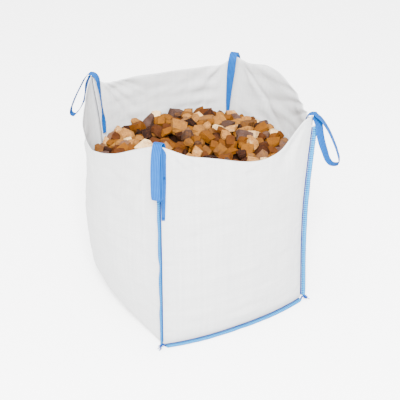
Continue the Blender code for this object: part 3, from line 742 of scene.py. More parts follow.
# ---------------------------------------------------------------- cloth
class Drape:
    """How the cloth departs from the smooth outline: folds, gathers and the stones behind it."""

    def __init__(self, outline: BagOutline) -> None:
        """Keep the outline."""
        self.outline = outline

    def relief(self, wall: int, s: Array, z: Array) -> Array:
        """Outward shift of a wall.

        The sum of: folds that fan out from each top corner, as a random wave of the angle about that
        corner; broad slack waves above the stones; small bumps of the stones below their surface; and
        short level gathers beside the seams. All of it fades out at the seams.

        Args:
            wall: Which wall.
            s: Fraction along the wall.
            z: Height.

        Returns:
            Shift in metres.
        """
        width = 0.90
        s, z = np.broadcast_arrays(np.clip(s, 0.0, 1.0), z)
        along = s * width
        seed = 11 * wall
        free = fade(0.74, 1.00, z)
        total = np.zeros(z.shape)
        for side, distance in enumerate((along, width - along)):
            top = self.outline.rim_height(wall, np.array(float(side)))
            drop = top - z + 0.03
            angle = np.arctan2(drop, distance)
            reach = np.hypot(distance, drop)
            fan = ridge_noise(angle * 5.2, reach * 1.6 + 3.0, seed + side)
            soft = value_noise(angle * 2.4, reach * 1.2, seed + side + 2)
            envelope = (reach / 0.20) * np.exp(1.0 - reach / 0.20)
            total += (0.0100 * fan + 0.0085 * soft) * envelope * (0.16 + 0.84 * free)
        total += 0.0100 * free * value_noise(along / 0.19, z / 0.30, seed + 4)
        total += 0.0060 * value_noise(along / 0.16, z / 0.045, seed + 5)
        stones = np.clip(value_noise(along / 0.040, z / 0.040, seed + 6), 0.0, 1.0)
        total += 0.0030 * stones * (1.0 - free)
        total *= fade(0.035, 0.14, along) * fade(0.035, 0.14, width - along)
        near = np.minimum(along, width - along)
        gather = np.exp(-((near - 0.035) / 0.022) ** 2) * fade(0.0, 0.02, near)
        level = value_noise(near / 0.09 + 3.0, z / 0.020, seed + 7)
        total += 0.0048 * gather * level * (1.0 - fade(0.70, 0.80, z))
        return total * fade(0.015, 0.09, z)

    def point(self, wall: int, s: Array, z: Array) -> Array:
        """Wall point moved by its relief along the wall's plain outward direction."""
        shift = self.relief(wall, s, z)[..., None]
        return self.outline.point(wall, s, z) + shift * self.outline.normal(wall)


class SeamLine:
    """Root of a turned-out seam with its out and side directions, and the ripple of its free edge."""

    def __init__(self, points: Array, out: Array, side: Array, along: Array, seed: int,
                 outline: BagOutline) -> None:
        """Keep the line; the ripple is two sizes of random wave along it."""
        self.points, self.out, self.side, self.along = points, out, side, along
        wave = value_noise(along / 0.075, np.full(along.shape, 0.5), seed)
        small = value_noise(along / 0.017, np.full(along.shape, 2.5), seed)
        self.ripple = 0.0044 * wave + 0.0008 * small
        self.outline = outline

    def at(self, out: float, side: float) -> Array:
        """Line at a distance out from the root and a distance to its side."""
        share = max(out, 0.0) / self.outline.fin
        shift = (side + self.ripple * share ** 1.5)[:, None]
        return self.points + self.out * out + self.side * shift

    @classmethod
    def corner(cls, outline: BagOutline, corner: int, z: Array) -> "SeamLine":
        """Seam up a corner, at given heights."""
        wall, s = (corner, 0.0) if corner in (0, 2) else (corner - 1, 1.0)
        points = outline.point(wall, s, z)
        out = np.tile(outline.seam_out(corner), (len(z), 1))
        side = np.tile(outline.seam_side(corner), (len(z), 1))
        return cls(points, out, side, z, 40 + corner, outline)

    @classmethod
    def bottom(cls, outline: BagOutline, wall: int, s: Array) -> "SeamLine":
        """Seam under the front or back panel, at given fractions."""
        points = outline.point(wall, s, 0.0)
        points[:, 2] = outline.seam_lift
        out = np.tile(outline.normal(wall), (len(s), 1))
        side = np.tile([0.0, 0.0, 1.0], (len(s), 1))
        line = cls(points, out, side, points[:, 0], 50 + wall, outline)
        line.ripple = np.abs(line.ripple)
        return line


@dataclass
class BagCloth:
    """The three lengths of woven cloth, with their seam allowances turned out."""

    outline: BagOutline
    drape: Drape
    columns: int = 111
    rows: int = 121
    side_rows: int = 101
    turn_rows: int = 11
    floor_rows: int = 23
    fin_steps: int = 4
    fin_start: float = 0.027
    bottom_start: float = 0.0126
    thickness: float = 0.0018
    hem: float = 0.024
    hem_extra: float = 0.0009

    def shares(self, count: int) -> Array:
        """Fractions across a panel, closer together near its corners."""
        even = np.linspace(0.0, 1.0, count)
        return 0.6 * even + 0.4 * (0.5 - 0.5 * np.cos(math.pi * even))

    def hem_thickness(self, below_rim: Array) -> Array:
        """Thickness by distance below the rim: the folded hem, then a soft step to one ply."""
        return self.thickness + self.hem_extra * (1.0 - fade(self.hem, self.hem + 0.003, below_rim))

    def end_panel(self, wall: int) -> tuple[Array, Array, Array]:
        """Front or back panel.

        A grid of fractions across and of heights up the wall, each point on the draped wall; its outer
        columns and lowest rows leave the wall at the seam and run out along the allowance.

        Args:
            wall: FRONT or BACK.

        Returns:
            Points, quads and cloth coordinates.
        """
        o, fins = self.outline, self.fin_steps
        front = wall == Wall.FRONT
        across = self.shares(self.columns)
        s = across if front else 1.0 - across
        share = np.linspace(0.0, 1.0, self.rows)[:, None] ** 1.08
        lowest = o.seam_lift + 0.5 * (o.cloth + o.ply_gap)
        z = lowest + share * (o.rim_height(wall, s)[None, :] - lowest)
        wall_grid = self.drape.point(wall, np.tile(s, (self.rows, 1)), z)
        outs = np.linspace(o.fin, 0.0, fins + 1)
        lift = 0.5 * (o.cloth + o.ply_gap)
        left = SeamLine.corner(o, Corner.FRONT_LEFT if front else Corner.BACK_LEFT, z[:, 0])
        right = SeamLine.corner(o, Corner.FRONT_RIGHT if front else Corner.BACK_RIGHT, z[:, -1])
        wall_grid[:, 0], wall_grid[:, -1] = left.at(0.0, lift), right.at(0.0, lift)
        base = SeamLine.bottom(o, wall, s)
        wall_grid[0, 1:-1] = base.at(0.0, lift)[1:-1]
        left_fin = np.stack([left.at(v, lift) for v in outs[:-1]], axis=1)
        right_fin = np.stack([right.at(v, lift) for v in outs[-2::-1]], axis=1)
        grid = np.concatenate([left_fin, wall_grid, right_fin], axis=1)
        low = np.stack([base.at(v, lift) for v in outs[:-1]])
        pad = np.zeros((fins, fins, 3))
        low = np.concatenate([pad + low[:, :1], low, pad + low[:, -1:]], axis=1)
        grid = np.concatenate([low, grid])
        u = np.concatenate([-outs[:-1], 0.90 * across, 0.90 + outs[-2::-1]])
        below = (o.rim_height(wall, s)[None, :] - z)
        v = np.concatenate([np.full(fins, 1.0)[:, None] * -outs[:-1, None] + np.zeros((1, self.columns)), z])
        v = np.concatenate([v[:, :1]] * fins + [v] + [v[:, -1:]] * fins, axis=1)
        uv = np.stack([np.broadcast_to(u, v.shape), v], axis=-1)
        column = np.arange(grid.shape[1] - 1)
        row = np.arange(grid.shape[0] - 1)[:, None]
        in_fin = (column < fins) | (column >= len(u) - 1 - fins)
        at_corner = np.minimum(u[:-1], 0.90 - u[1:]) < 0.90 * self.bottom_start - 1e-6
        height = np.concatenate([np.zeros(fins), z[:-1, 0]])[:, None]
        bare = (height < self.fin_start) | (height > z[-1, 0] - o.rim_band)
        right_height = np.concatenate([np.zeros(fins), z[:-1, -1]])[:, None]
        bare_right = (right_height < self.fin_start) | (right_height > z[-1, -1] - o.rim_band)
        on_right = column >= fins
        kept = ~((in_fin & np.where(on_right, bare_right, bare)) | (at_corner & (row < fins)))
        thick = np.full(grid.shape[:2], self.thickness)
        thick[fins:, fins:-fins] = self.hem_thickness(below)
        if not front:
            grid, uv, thick, kept = grid[:, ::-1], uv[:, ::-1], thick[:, ::-1], kept[:, ::-1]
        return closed_sheet(grid, thick, uv, kept)

    def side_column(self, wall: int, s: float) -> Array:
        """Points down a U-panel wall from rim to the edge of the bottom: the draped wall, then a
        quarter turn whose radius follows the wall's lower rounding."""
        o = self.outline
        radius = float(o.round_radius(wall, np.array(s)))
        rim = float(o.rim_height(wall, np.array(s)))
        z = rim - (rim - radius) * np.linspace(0.0, 1.0, self.side_rows)[:-1]
        upper = self.drape.point(wall, np.full(z.shape, s), z)
        turn = np.linspace(0.5 * math.pi, 0.0, self.turn_rows)
        lower = self.drape.point(wall, np.full(turn.shape, s), radius * (1.0 - np.cos(turn)))
        lower -= o.normal(wall) * (radius * (1.0 - np.sin(turn)))[:, None]
        lower[:, 2] = np.maximum(lower[:, 2], 0.5 * o.cloth)
        return np.concatenate([upper, lower])

    def u_panel(self) -> tuple[Array, Array, Array]:
        """U-panel: down the left wall, under the load and up the right wall.

        Both walls are columns of draped points; the bottom is the surface between their lower edges and
        the two bottom seams, as the sum of both straight blends less the blend of its corners.

        Returns:
            Points, quads and cloth coordinates.
        """
        o, fins = self.outline, self.fin_steps
        across = self.shares(self.columns)
        left = np.array([self.side_column(Wall.LEFT, 1.0 - value) for value in across])
        right = np.array([self.side_column(Wall.RIGHT, value) for value in across])
        w = self.shares(self.floor_rows)[1:-1]
        near = SeamLine.bottom(o, Wall.FRONT, w).points[None]
        far = SeamLine.bottom(o, Wall.BACK, 1.0 - w).points[None]
        s, w = across[:, None, None], w[None, :, None]
        edge_l, edge_r = left[:, None, -1], right[:, None, -1]
        floor = (1 - w) * edge_l + w * edge_r + (1 - s) * near + s * far
        floor -= (1 - s) * ((1 - w) * edge_l[:1] + w * edge_r[:1])
        floor -= s * ((1 - w) * edge_l[-1:] + w * edge_r[-1:])
        floor[..., 2] = 0.5 * o.cloth
        grid = np.concatenate([left, floor, right[:, ::-1]], axis=1)
        lift = -0.5 * (o.cloth + o.ply_gap)
        count = left.shape[1]
        outs = np.linspace(o.fin, 0.0, fins + 1)[:-1]
        for place, first, last, wall in ((0, Corner.FRONT_LEFT, Corner.FRONT_RIGHT, Wall.FRONT),
                                         (-1, Corner.BACK_LEFT, Corner.BACK_RIGHT, Wall.BACK)):
            line = grid[fins + place if place > 0 else place].copy()
            z = np.maximum(line[:, 2], o.seam_lift)
            start = SeamLine.corner(o, first, z[:count])
            end = SeamLine.corner(o, last, z[-count:])
            across_floor = np.clip((line[count:-count, 0] - line[count - 1, 0])
                                   / (line[-count, 0] - line[count - 1, 0]), 0.0, 1.0)
            base = SeamLine.bottom(o, wall, across_floor if wall == Wall.FRONT else 1.0 - across_floor)
            fin = [np.concatenate([start.at(v, lift), base.at(v, lift), end.at(v, lift)])
                   for v in (*outs, 0.0)]
            if place == 0:
                grid[0] = fin[-1]
                grid = np.concatenate([np.array(fin[:-1]), grid])
            else:
                grid[-1] = fin[-1]
                grid = np.concatenate([grid, np.array(fin[-2::-1])])
        steps = np.linalg.norm(np.diff(grid[len(grid) // 2], axis=0), axis=1)
        length = np.concatenate([[0.0], np.cumsum(steps)])
        u = np.concatenate([-outs, 0.90 * across, 0.90 + outs[::-1]])
        uv = np.stack(np.broadcast_arrays(u[:, None], length[None, :]), axis=-1)
        thick = np.full(grid.shape[:2], self.thickness)
        rim_l = grid[:, :1, 2] - grid[:, :count, 2]
        rim_r = grid[:, -1:, 2] - grid[:, -count:, 2]
        thick[fins:-fins, :count] = self.hem_thickness(rim_l)[fins:-fins]
        thick[fins:-fins, -count:] = self.hem_thickness(rim_r)[fins:-fins]
        row = np.arange(grid.shape[0] - 1)
        in_fin = ((row < fins) | (row >= grid.shape[0] - 1 - fins))[:, None]
        column = np.arange(grid.shape[1] - 1)
        wall_part = (column < count) | (column >= grid.shape[1] - 1 - count)
        x = np.abs(grid[0, :, 0])
        near_corner = (x[:-1] > 0.445) | (x[1:] > 0.445)
        bare = []
        for place in (0, -1):
            edge = grid[place, :, 2]
            top = np.where(column < count, edge[0], edge[-1]) - o.rim_band
            outside = (np.minimum(edge[:-1], edge[1:]) < self.fin_start) | (
                np.maximum(edge[:-1], edge[1:]) > top)
            bare.append((wall_part & outside) | (~wall_part & near_corner))
        in_front = (row < fins)[:, None]
        kept = ~(in_fin & np.where(in_front, bare[0][None], bare[1][None]))
        return closed_sheet(grid, thick, uv, kept)

    def build(self, dresser: Dresser, material: bpy.types.Material) -> list[bpy.types.Object]:
        """Make the three lengths of cloth, put each on the bag's body and hide the frame piece it stands
        for.
        """
        shapes = {"u_panel": self.u_panel(), "front_panel": self.end_panel(Wall.FRONT),
                  "back_panel": self.end_panel(Wall.BACK)}
        made = []
        for node, (points, faces, uv) in shapes.items():
            piece = tidy_faces(dresser.mesh_object("cloth_" + node, points, faces, material, uv))
            dresser.dress(piece, "bag", (node,))
            made.append(piece)
        return made


# ---------------------------------------------------------------- stitching
def joined(parts: Sequence[tuple[Array, Array, Array]]) -> tuple[Array, Array, Array]:
    """Several shapes as one: their points, quads and cloth coordinates one after another."""
    starts = np.cumsum([0] + [len(points) for points, _, _ in parts[:-1]])
    faces = np.concatenate([faces + start for start, (_, faces, _) in zip(starts, parts)])
    return (np.concatenate([points for points, _, _ in parts]), faces,
            np.concatenate([uv for _, _, uv in parts]))


def thread(path: Array, radius: float, sides: int = 5) -> tuple[Array, Array, Array]:
    """Round thread along a path: at each point, a ring square to the path's own direction."""
    along = unit(np.gradient(path, axis=0))
    spare = np.where(np.abs(along[:, 2:]) < 0.9, [[0.0, 0.0, 1.0]], [[1.0, 0.0, 0.0]])
    across = unit(np.cross(spare, along))
    return swept(path, across, np.cross(along, across), round_section(radius, sides))


def repeated_threads(paths: Array, radius: float, sides: int = 5) -> tuple[Array, Array, Array]:
    """Many short threads at once.

    Args:
        paths: Their points, as threads by points by coordinates.
        radius: Thread radius, drawn in to a point at both ends.
        sides: Sides of the thread.

    Returns:
        Points, quads and cloth coordinates.
    """
    count, steps = paths.shape[:2]
    along = unit(np.gradient(paths, axis=1))
    spare = unit(paths[:, :1] - paths.mean(axis=1, keepdims=True) + 1e-9)
    across = unit(np.cross(along, spare + np.array([0.02, 0.05, 0.03])))
    normals = np.cross(along, across)
    turn = np.arange(sides) * 2.0 * math.pi / sides
    size = radius * np.minimum(1.0, np.sin(math.pi * np.linspace(0.04, 0.96, steps)) * 4.0)
    ring = size[:, None, None] * (np.cos(turn)[None, :, None] * across[:, :, None]
                                  + np.sin(turn)[None, :, None] * normals[:, :, None])
    points = (paths[:, :, None] + ring).reshape(-1, 3)
    inner = np.arange(1, sides - 1)
    cap = np.stack([inner, np.zeros_like(inner), inner + 1, inner + 1], axis=-1)
    far_cap = cap[:, [1, 0, 2, 3]] + (steps - 1) * sides
    one = np.concatenate([grid_faces(steps, sides, wrap=True), cap, far_cap])
    faces = (one[None] + (np.arange(count) * steps * sides)[:, None, None]).reshape(-1, 4)
    uv = np.zeros((len(points), 2))
    return points, faces, uv


@dataclass
class SeamStitching:
    """Overlock and chain stitch of the four corner seams and the two bottom seams."""

    outline: BagOutline
    depth: float = 0.0200
    cover: float = 0.0007
    rung_pitch: float = 0.0135
    rung_radius: float = 0.0019
    chain_places: tuple = (0.0032, 0.0070)
    chain_pitch: float = 0.0075
    floor_gap: float = 0.0004
    tail_radius: float = 0.0020
    chain_radius: float = 0.0021

    def seam(self, name: str) -> SeamLine:
        """Finely stepped seam of a name such as front_left or bottom_front."""
        o = self.outline
        if name.startswith("bottom"):
            wall = Wall.FRONT if name.endswith("front") else Wall.BACK
            s = np.linspace(0.0126, 0.9874, 260)
            return SeamLine.bottom(o, wall, s if wall == Wall.FRONT else 1.0 - s)
        corner = Corner[name.upper()]
        top = float(o.corner_top(corner)[2]) - o.rim_band - 0.004
        return SeamLine.corner(o, corner, np.linspace(0.0275, top, 330))

    def overlock(self, seam: SeamLine) -> tuple[Array, Array, Array]:
        """Pale cover of fine thread that wraps the allowance's edge.

        Each station's section is a U: up one face, around the edge and down the other, a cover's
        thickness off the cloth.
        """
        o = self.outline
        inner = o.cloth + 0.5 * o.ply_gap + 0.0003
        outer = inner + self.cover
        start, gap, end = o.fin - self.depth, o.fin + 0.0004, o.fin + 0.0004 + self.cover
        section = ((start, -outer), (end, -outer), (end, outer), (start, outer), (start, inner),
                   (gap, inner), (gap, -inner), (start, -inner))
        points = np.stack([seam.at(out, side) for out, side in section], axis=1)
        rows, count = points.shape[:2]
        faces = grid_faces(rows, count, wrap=True)
        last = (rows - 1) * count
        caps = np.array([(0, 1, 6, 7), (1, 2, 5, 6), (2, 3, 4, 5)])
        faces = np.concatenate([faces, caps, caps[:, ::-1] + last])
        steps = np.linalg.norm(np.diff(seam.points, axis=0), axis=1)
        along = np.concatenate([[0.0], np.cumsum(steps)])
        across = np.array([out + side for out, side in section])
        uv = np.stack(np.broadcast_arrays(across[None], along[:, None]), axis=-1)
        return points.reshape(-1, 3), faces, uv.reshape(-1, 2)

    def stations(self, seam: SeamLine, pitch: float) -> tuple[Array, SeamLine]:
        """Even stitches along a seam: its line read at every pitch."""
        steps = np.linalg.norm(np.diff(seam.points, axis=0), axis=1)
        along = np.concatenate([[0.0], np.cumsum(steps)])
        at = np.arange(0.6 * pitch, along[-1] - 0.4 * pitch, pitch)
        read = [np.stack([np.interp(at, along, c) for c in a.T], axis=-1)
                for a in (seam.points, seam.out, seam.side)]
        line = SeamLine(*read, np.interp(at, along, seam.along), 0, self.outline)
        line.ripple = np.interp(at, along, seam.ripple)
        return at, line

    def rungs(self, seam: SeamLine) -> tuple[Array, Array, Array]:
        """Darker rungs: one thread for each stitch, from the needle line around the edge and back."""
        o = self.outline
        line = self.stations(seam, self.rung_pitch)[1]
        face = o.cloth + 0.5 * o.ply_gap + self.cover + 0.6 * self.rung_radius
        start, edge = o.fin - self.depth - 0.003, o.fin + self.cover + 0.0008
        turns = ((start, face), (0.5 * (start + edge), face + 0.0004), (edge, face), (edge + 0.0012, 0.0),
                 (edge, -face), (0.5 * (start + edge), -face - 0.0004), (start, -face))
        paths = np.stack([line.at(out, side) for out, side in turns], axis=1)
        run = unit(np.gradient(line.points, axis=0))[:, None]
        slant = np.array([-0.5, -0.1, 0.3, 0.5, 0.3, -0.1, -0.5])[None, :, None] * 0.3 * self.rung_pitch
        return repeated_threads(paths + run * slant, self.rung_radius)

    def looper(self, seam: SeamLine) -> tuple[Array, Array, Array]:
        """Looper thread: one thread that zigzags along the edge, a wave in out and side."""
        o = self.outline
        count = 900
        at = np.linspace(0, len(seam.points) - 1, count)
        spots = np.arange(len(seam.points))
        edge = np.stack([np.interp(at, spots, c) for c in seam.at(o.fin + 0.0015, 0.0).T], axis=-1)
        side = np.stack([np.interp(at, spots, c) for c in seam.side.T], axis=-1)
        wave = np.sin(np.linspace(0.0, 1.0, count) * math.pi * 2.0 * 88.0)[:, None]
        return thread(edge + side * wave * 0.0022, 0.00075, 4)

    def chain(self, seam: SeamLine) -> tuple[Array, Array, Array]:
        """Chain stitch: two rows of short plump stitches beside the root, on both faces."""
        o = self.outline
        rows = []
        for sign in (1.0, -1.0):
            line = self.stations(seam, self.chain_pitch)[1]
            run = unit(np.gradient(line.points, axis=0))
            face = sign * (o.cloth + 0.5 * o.ply_gap + 0.0004)
            half = 0.52 * self.chain_pitch
            lift = ((-half, 0.0), (-0.6 * half, 0.0009), (0.0, 0.0013), (0.6 * half, 0.0009), (half, 0.0))
            for place in self.chain_places:
                middle = [line.at(place, face + sign * rise) + run * step for step, rise in lift]
                rows.append(repeated_threads(np.stack(middle, axis=1), self.chain_radius))
        return joined(rows)

    def knot(self, start: Array, directions: Sequence[tuple[float, float, float]],
             seed: int) -> tuple[Array, Array, Array]:
        """Bunch of thread ends: a few threads that leave one place and curl apart."""
        rng = np.random.default_rng(seed)
        parts = []
        for direction in directions:
            bend = rng.uniform(-0.007, 0.007, (5, 3))
            share = np.linspace(0.0, 1.0, 5)[:, None]
            path = spline(start + share * np.array(direction) + np.sqrt(share) * bend, 18)[0]
            path[:, 2] = np.maximum(path[:, 2], self.tail_radius + self.floor_gap)
            parts.append(thread(path, self.tail_radius))
        return joined(parts)

    def build(self, dresser: Dresser, pale: bpy.types.Material, deep: bpy.types.Material) -> None:
        """Make the stitching of every seam."""
        names = [corner.label for corner in Corner] + ["bottom_front", "bottom_back"]
        for index, name in enumerate(names):
            seam = self.seam(name)
            cover = dresser.mesh_object("overlock_cover_" + name, *self.overlock(seam)[:2], pale,
                                        self.overlock(seam)[2])
            dresser.dress(tidy_faces(cover), "bag", ("overlock_thread_" + name,))
            points, faces, uv = joined([self.rungs(seam), self.looper(seam)])
            points[:, 2] = np.maximum(points[:, 2], self.floor_gap)
            rungs = dresser.mesh_object("overlock_rungs_" + name, points, faces, deep, uv)
            dresser.dress(tidy_faces(rungs), "bag")
            points, faces, uv = self.chain(seam)
            points[:, 2] = np.maximum(points[:, 2], self.floor_gap)
            chain = dresser.mesh_object("chain_stitches_" + name, points, faces, deep, uv)
            dresser.dress(tidy_faces(chain), "bag", ("chain_stitch_" + name,))
        for corner in (Corner.FRONT_LEFT, Corner.FRONT_RIGHT):
            out = self.outline.seam_out(corner)
            seam = self.seam(corner.label)
            start = seam.at(self.outline.fin - 0.008, 0.0)[0] - np.array([0.0, 0.0, 0.001])
            bottom = self.seam("bottom_front")
            end = bottom.at(self.outline.fin - 0.010, 0.002)[0 if corner == Corner.FRONT_LEFT else -1]
            low = np.array([0.0, 0.0, -0.017])
            spread = [0.030 * out + low, 0.026 * out + low + 0.010 * seam.side[0],
                      0.024 * out + low - 0.009 * seam.side[0], 0.034 * out + low + 0.004 * seam.side[0],
                      0.020 * out + low - 0.004 * seam.side[0], 0.012 * out + low,
                      0.016 * out + 0.6 * low + 0.012 * seam.side[0],
                      0.014 * out + 0.5 * low - 0.012 * seam.side[0], 0.026 * out + 0.2 * low,
                      0.010 * out + 0.3 * low + 0.006 * seam.side[0]]
            spread += [(end - start) * share for share in (1.0, 0.96, 1.04, 0.90, 0.80, 1.0)]
            points, faces, uv = self.knot(start, [tuple(step) for step in spread], 70 + corner)
            tail = dresser.mesh_object("thread_ends_" + corner.label, points, faces, deep, uv)
            dresser.dress(tidy_faces(tail), "bag", ("thread_tail_" + corner.label,))


# ---------------------------------------------------------------- webbing
@dataclass
class LiftingStraps:
    """Four straps: each a sewn inner leg that runs into its free loop, and a sewn outer leg."""

    outline: BagOutline
    width: float = 0.050
    thickness: float = 0.0030
    leg_gap: float = 0.0025
    leg_inset: float = 0.0215
    outer_end_inset: float = 0.0135
    outer_width: float = 0.030
    outer_end_width: float = 0.018
    outer_top_in: float = 0.0085
    outer_top_drop: float = 0.014
    bend_start: float = 0.012
    bend_end: float = 0.004
    hub_out: float = 0.014
    hub_rise: float = 0.011
    hub_radius: float = 0.0035
    outer_length: float = 0.42
    inner_length: float = 0.34
    leg_drop: float = 0.012
    inner_drop: float = 0.018
    inner_end_width: float = 0.020
    corner_clear: float = 0.0080
    wall_run: float = 0.88
    arch: float = 0.0008
    loop_line: dict = field(default_factory=lambda: {
        Corner.FRONT_LEFT: (
            (0.026, -0.022), (0.060, -0.085), (0.083, -0.150), (0.097, -0.208), (0.103, -0.240),
            (0.098, -0.258), (0.082, -0.262), (0.069, -0.246), (0.052, -0.190), (0.034, -0.120),
            (0.025, -0.070), (0.010, -0.030)),
        Corner.FRONT_RIGHT: (
            (0.030, -0.020), (0.075, -0.076), (0.109, -0.138), (0.137, -0.203), (0.149, -0.248),
            (0.147, -0.266), (0.130, -0.274), (0.106, -0.272), (0.091, -0.258), (0.066, -0.205),
            (0.045, -0.150), (0.031, -0.098), (0.022, -0.052), (0.010, -0.030)),
        Corner.BACK_RIGHT: (
            (0.028, -0.022), (0.062, -0.085), (0.086, -0.150), (0.100, -0.215), (0.104, -0.255),
            (0.092, -0.268), (0.074, -0.256), (0.052, -0.195), (0.033, -0.115), (0.025, -0.068),
            (0.009, -0.030)),
        Corner.BACK_LEFT: (
            (0.024, -0.022), (0.062, -0.085), (0.098, -0.150), (0.124, -0.205), (0.139, -0.245),
            (0.139, -0.268), (0.122, -0.276), (0.102, -0.258), (0.070, -0.215), (0.044, -0.160),
            (0.029, -0.100), (0.023, -0.062), (0.010, -0.030))})
    lean: dict = field(default_factory=lambda: {
        Corner.FRONT_LEFT: -0.030, Corner.FRONT_RIGHT: 0.010,
        Corner.BACK_RIGHT: -0.008, Corner.BACK_LEFT: 0.012})
    leg_twist: dict = field(default_factory=lambda: {
        Corner.BACK_LEFT: ((0.0, 0.0), (0.45, 20.0), (0.62, 12.0), (0.82, -34.0), (1.0, -42.0))})
    loop_twist: dict = field(default_factory=lambda: {
        Corner.FRONT_RIGHT: ((0.0, 0.0), (0.45, 0.0), (0.60, -18.0), (0.78, -42.0), (1.0, -12.0)),
        Corner.BACK_LEFT: ((0.0, 0.0), (0.5, 10.0), (1.0, 0.0))})

    def fold(self, corner: Corner) -> Array:
        """Middle of a loop's fold line."""
        o = self.outline
        return o.corner_top(corner) + self.hub_out * o.seam_out(corner) + [0.0, 0.0, self.hub_rise]

    def leg(self, corner: Corner, wall: int, length: float, lift: float,
            end_inset: float) -> tuple[Array, Array, Array]:
        """Path of a sewn leg down a wall, beside its corner seam.

        Its inset from the seam goes evenly from one value to the other down the leg; the across
        direction is level with the wall and the normal is the wall's own.

        Args:
            corner: Corner that it starts from.
            wall: Wall that it is sewn to.
            length: Length of the sewn part.
            lift: Distance out from the middle of the cloth.
            end_inset: Inset at the lower end.

        Returns:
            Points, across directions and normals, from the top down.
        """
        o = self.outline
        top = float(o.corner_top(corner)[2]) - self.leg_drop
        z = np.linspace(top, top - length, 12)
        inset = np.linspace(self.leg_inset, end_inset, len(z))
        s = inset / self.wall_run if wall == corner else 1.0 - inset / self.wall_run
        ahead = o.point(wall, s + 0.01, z) - o.point(wall, s - 0.01, z)
        above = o.point(wall, s, z + 0.01) - o.point(wall, s, z - 0.01)
        normals = unit(np.cross(ahead, above))
        return o.point(wall, s, z) + lift * normals, unit(np.cross(above, normals)), normals

    def ribbon(self, path: Array, across: Array, normals: Array,
               widths: Optional[Array] = None) -> tuple[Array, Array, Array]:
        """Webbing along a path: a flat section with round selvedges, arched a little across."""
        section = rounded_strip(self.width, self.thickness)
        section[:, 1] += self.arch * (1.0 - (2.0 * section[:, 0] / self.width) ** 2)
        return swept(path, across, normals, section, scale=widths)

    def loop_path(self, corner: Corner) -> tuple[Array, Array]:
        """Free loop from the top of its fold: out, down, around its end and back up inside.

        In the plane square to the fold line it follows the hub's arc and then the hanging line; its
        lean shifts it along the fold line in proportion to its drop.
        """
        turn = np.radians([90.0, 50.0, 15.0])
        hub = self.hub_radius * np.stack([np.cos(turn), np.sin(turn)], axis=-1)
        close = np.array([(0.0015, -0.016), (-0.0010, -0.0065)])
        flat = np.concatenate([hub, np.array(self.loop_line[corner]), close])
        out = self.outline.seam_out(corner)
        axis = np.cross(out, [0.0, 0.0, 1.0])
        lean = self.lean[corner] * np.clip(-flat[:, 1:] / 0.3, 0.0, 1.0)
        rise = flat[:, 1:] * np.array([[0.0, 0.0, 1.0]])
        return self.fold(corner) + flat[:, :1] * out + rise + lean * axis, np.tile(axis, (len(flat), 1))

    @staticmethod
    def twisted(directions: Array, knots: Optional[Knots]) -> Array:
        """Turn level directions about the vertical, by the angle that knots give at each share."""
        if knots is None:
            return directions
        angle = np.radians(smooth(knots, np.linspace(0.0, 1.0, len(directions))))
        cos, sin = np.cos(angle), np.sin(angle)
        x, y, z = directions.T
        return np.stack([cos * x - sin * y, sin * x + cos * y, z], axis=-1)

    def inner_leg(self, corner: Corner) -> tuple[Array, Array]:
        """Inner leg from its lower end up, flat across the corner.

        Its middle stays half its own width and a gap inside the seam, so that it fills the corner as it
        narrows.
        """
        o = self.outline
        share = np.linspace(0.0, 1.0, 12)
        z = float(o.corner_top(corner)[2]) - self.inner_drop - share * self.inner_length
        half = 0.5 * self.width * self.narrowing(share)
        seam = np.stack([*o.corner_xy(corner, z), z], axis=-1)
        leg = seam - (half + self.corner_clear)[:, None] * o.seam_out(corner)
        axis = np.tile(np.cross(o.seam_out(corner), [0.0, 0.0, 1.0]), (len(z), 1))
        return leg[::-1], self.twisted(axis, self.leg_twist.get(corner))[::-1]

    def narrowing(self, share: Array) -> Array:
        """Width factor of an inner leg: full in its upper fifth, then evenly down to its end width."""
        return 1.0 - (1.0 - self.inner_end_width / self.width) * np.clip(1.25 * share - 0.25, 0.0, 1.0)

    def strap(self, corner: Corner) -> tuple[Array, Array, Array]:
        """Inner leg, the bridge over the corner and the free loop, as one ribbon."""
        leg, leg_across = self.inner_leg(corner)
        loop, loop_across = self.loop_path(corner)
        loop_across = self.twisted(loop_across, self.loop_twist.get(corner))
        out, up = self.outline.seam_out(corner), np.array([0.0, 0.0, 1.0])
        fold = self.fold(corner)
        bridge = np.array([fold - 0.0355 * out - 0.0060 * up, fold - 0.0215 * out + 0.0020 * up,
                           fold - 0.0095 * out + 0.0034 * up])
        stations = np.concatenate([leg, bridge, loop])
        across = np.concatenate([leg_across, np.tile(loop_across[0], (3, 1)), loop_across])
        path, across = spline(stations, 300, across)
        along = unit(np.gradient(path, axis=0))
        across = unit(across - along * np.sum(across * along, axis=1, keepdims=True))
        drop = (leg[-1, 2] - path[:, 2]) / self.inner_length
        inside = (path - fold) @ out < -0.030
        widths = np.where(inside, self.narrowing(np.clip(drop, 0.0, 1.0)), 1.0)
        return self.ribbon(path, across, np.cross(across, along), widths)

    def outer_leg(self, corner: Corner) -> tuple[Array, Array, Array]:
        """Outer leg: its lower end narrows, and its top twists up to lie under the fold."""
        lift = 0.5 * self.outline.cloth + 0.5 * self.thickness + self.leg_gap
        leg, across, _ = self.leg(corner, corner, self.outer_length, lift,
                                             self.outer_end_inset)
        fold, out = self.fold(corner), self.outline.seam_out(corner)
        axis = np.cross(out, [0.0, 0.0, 1.0])
        axis = axis if np.dot(axis, across[0]) > 0.0 else -axis
        top = fold - self.outer_top_in * out - np.array([0.0, 0.0, self.outer_top_drop])
        stations = np.concatenate([top[None], leg[1:]])
        across = np.concatenate([axis[None], across[1:]])
        path, across = spline(stations, 110, across)
        along = unit(np.gradient(path, axis=0))
        across = unit(across - along * np.sum(across * along, axis=1, keepdims=True))
        share = np.linspace(0.0, 1.0, len(path))
        narrow = np.interp(share, (0.0, 0.5, 1.0), (self.outer_width, self.outer_width,
                                                   self.outer_end_width)) / self.width
        return self.ribbon(path, across, np.cross(along, across), narrow)

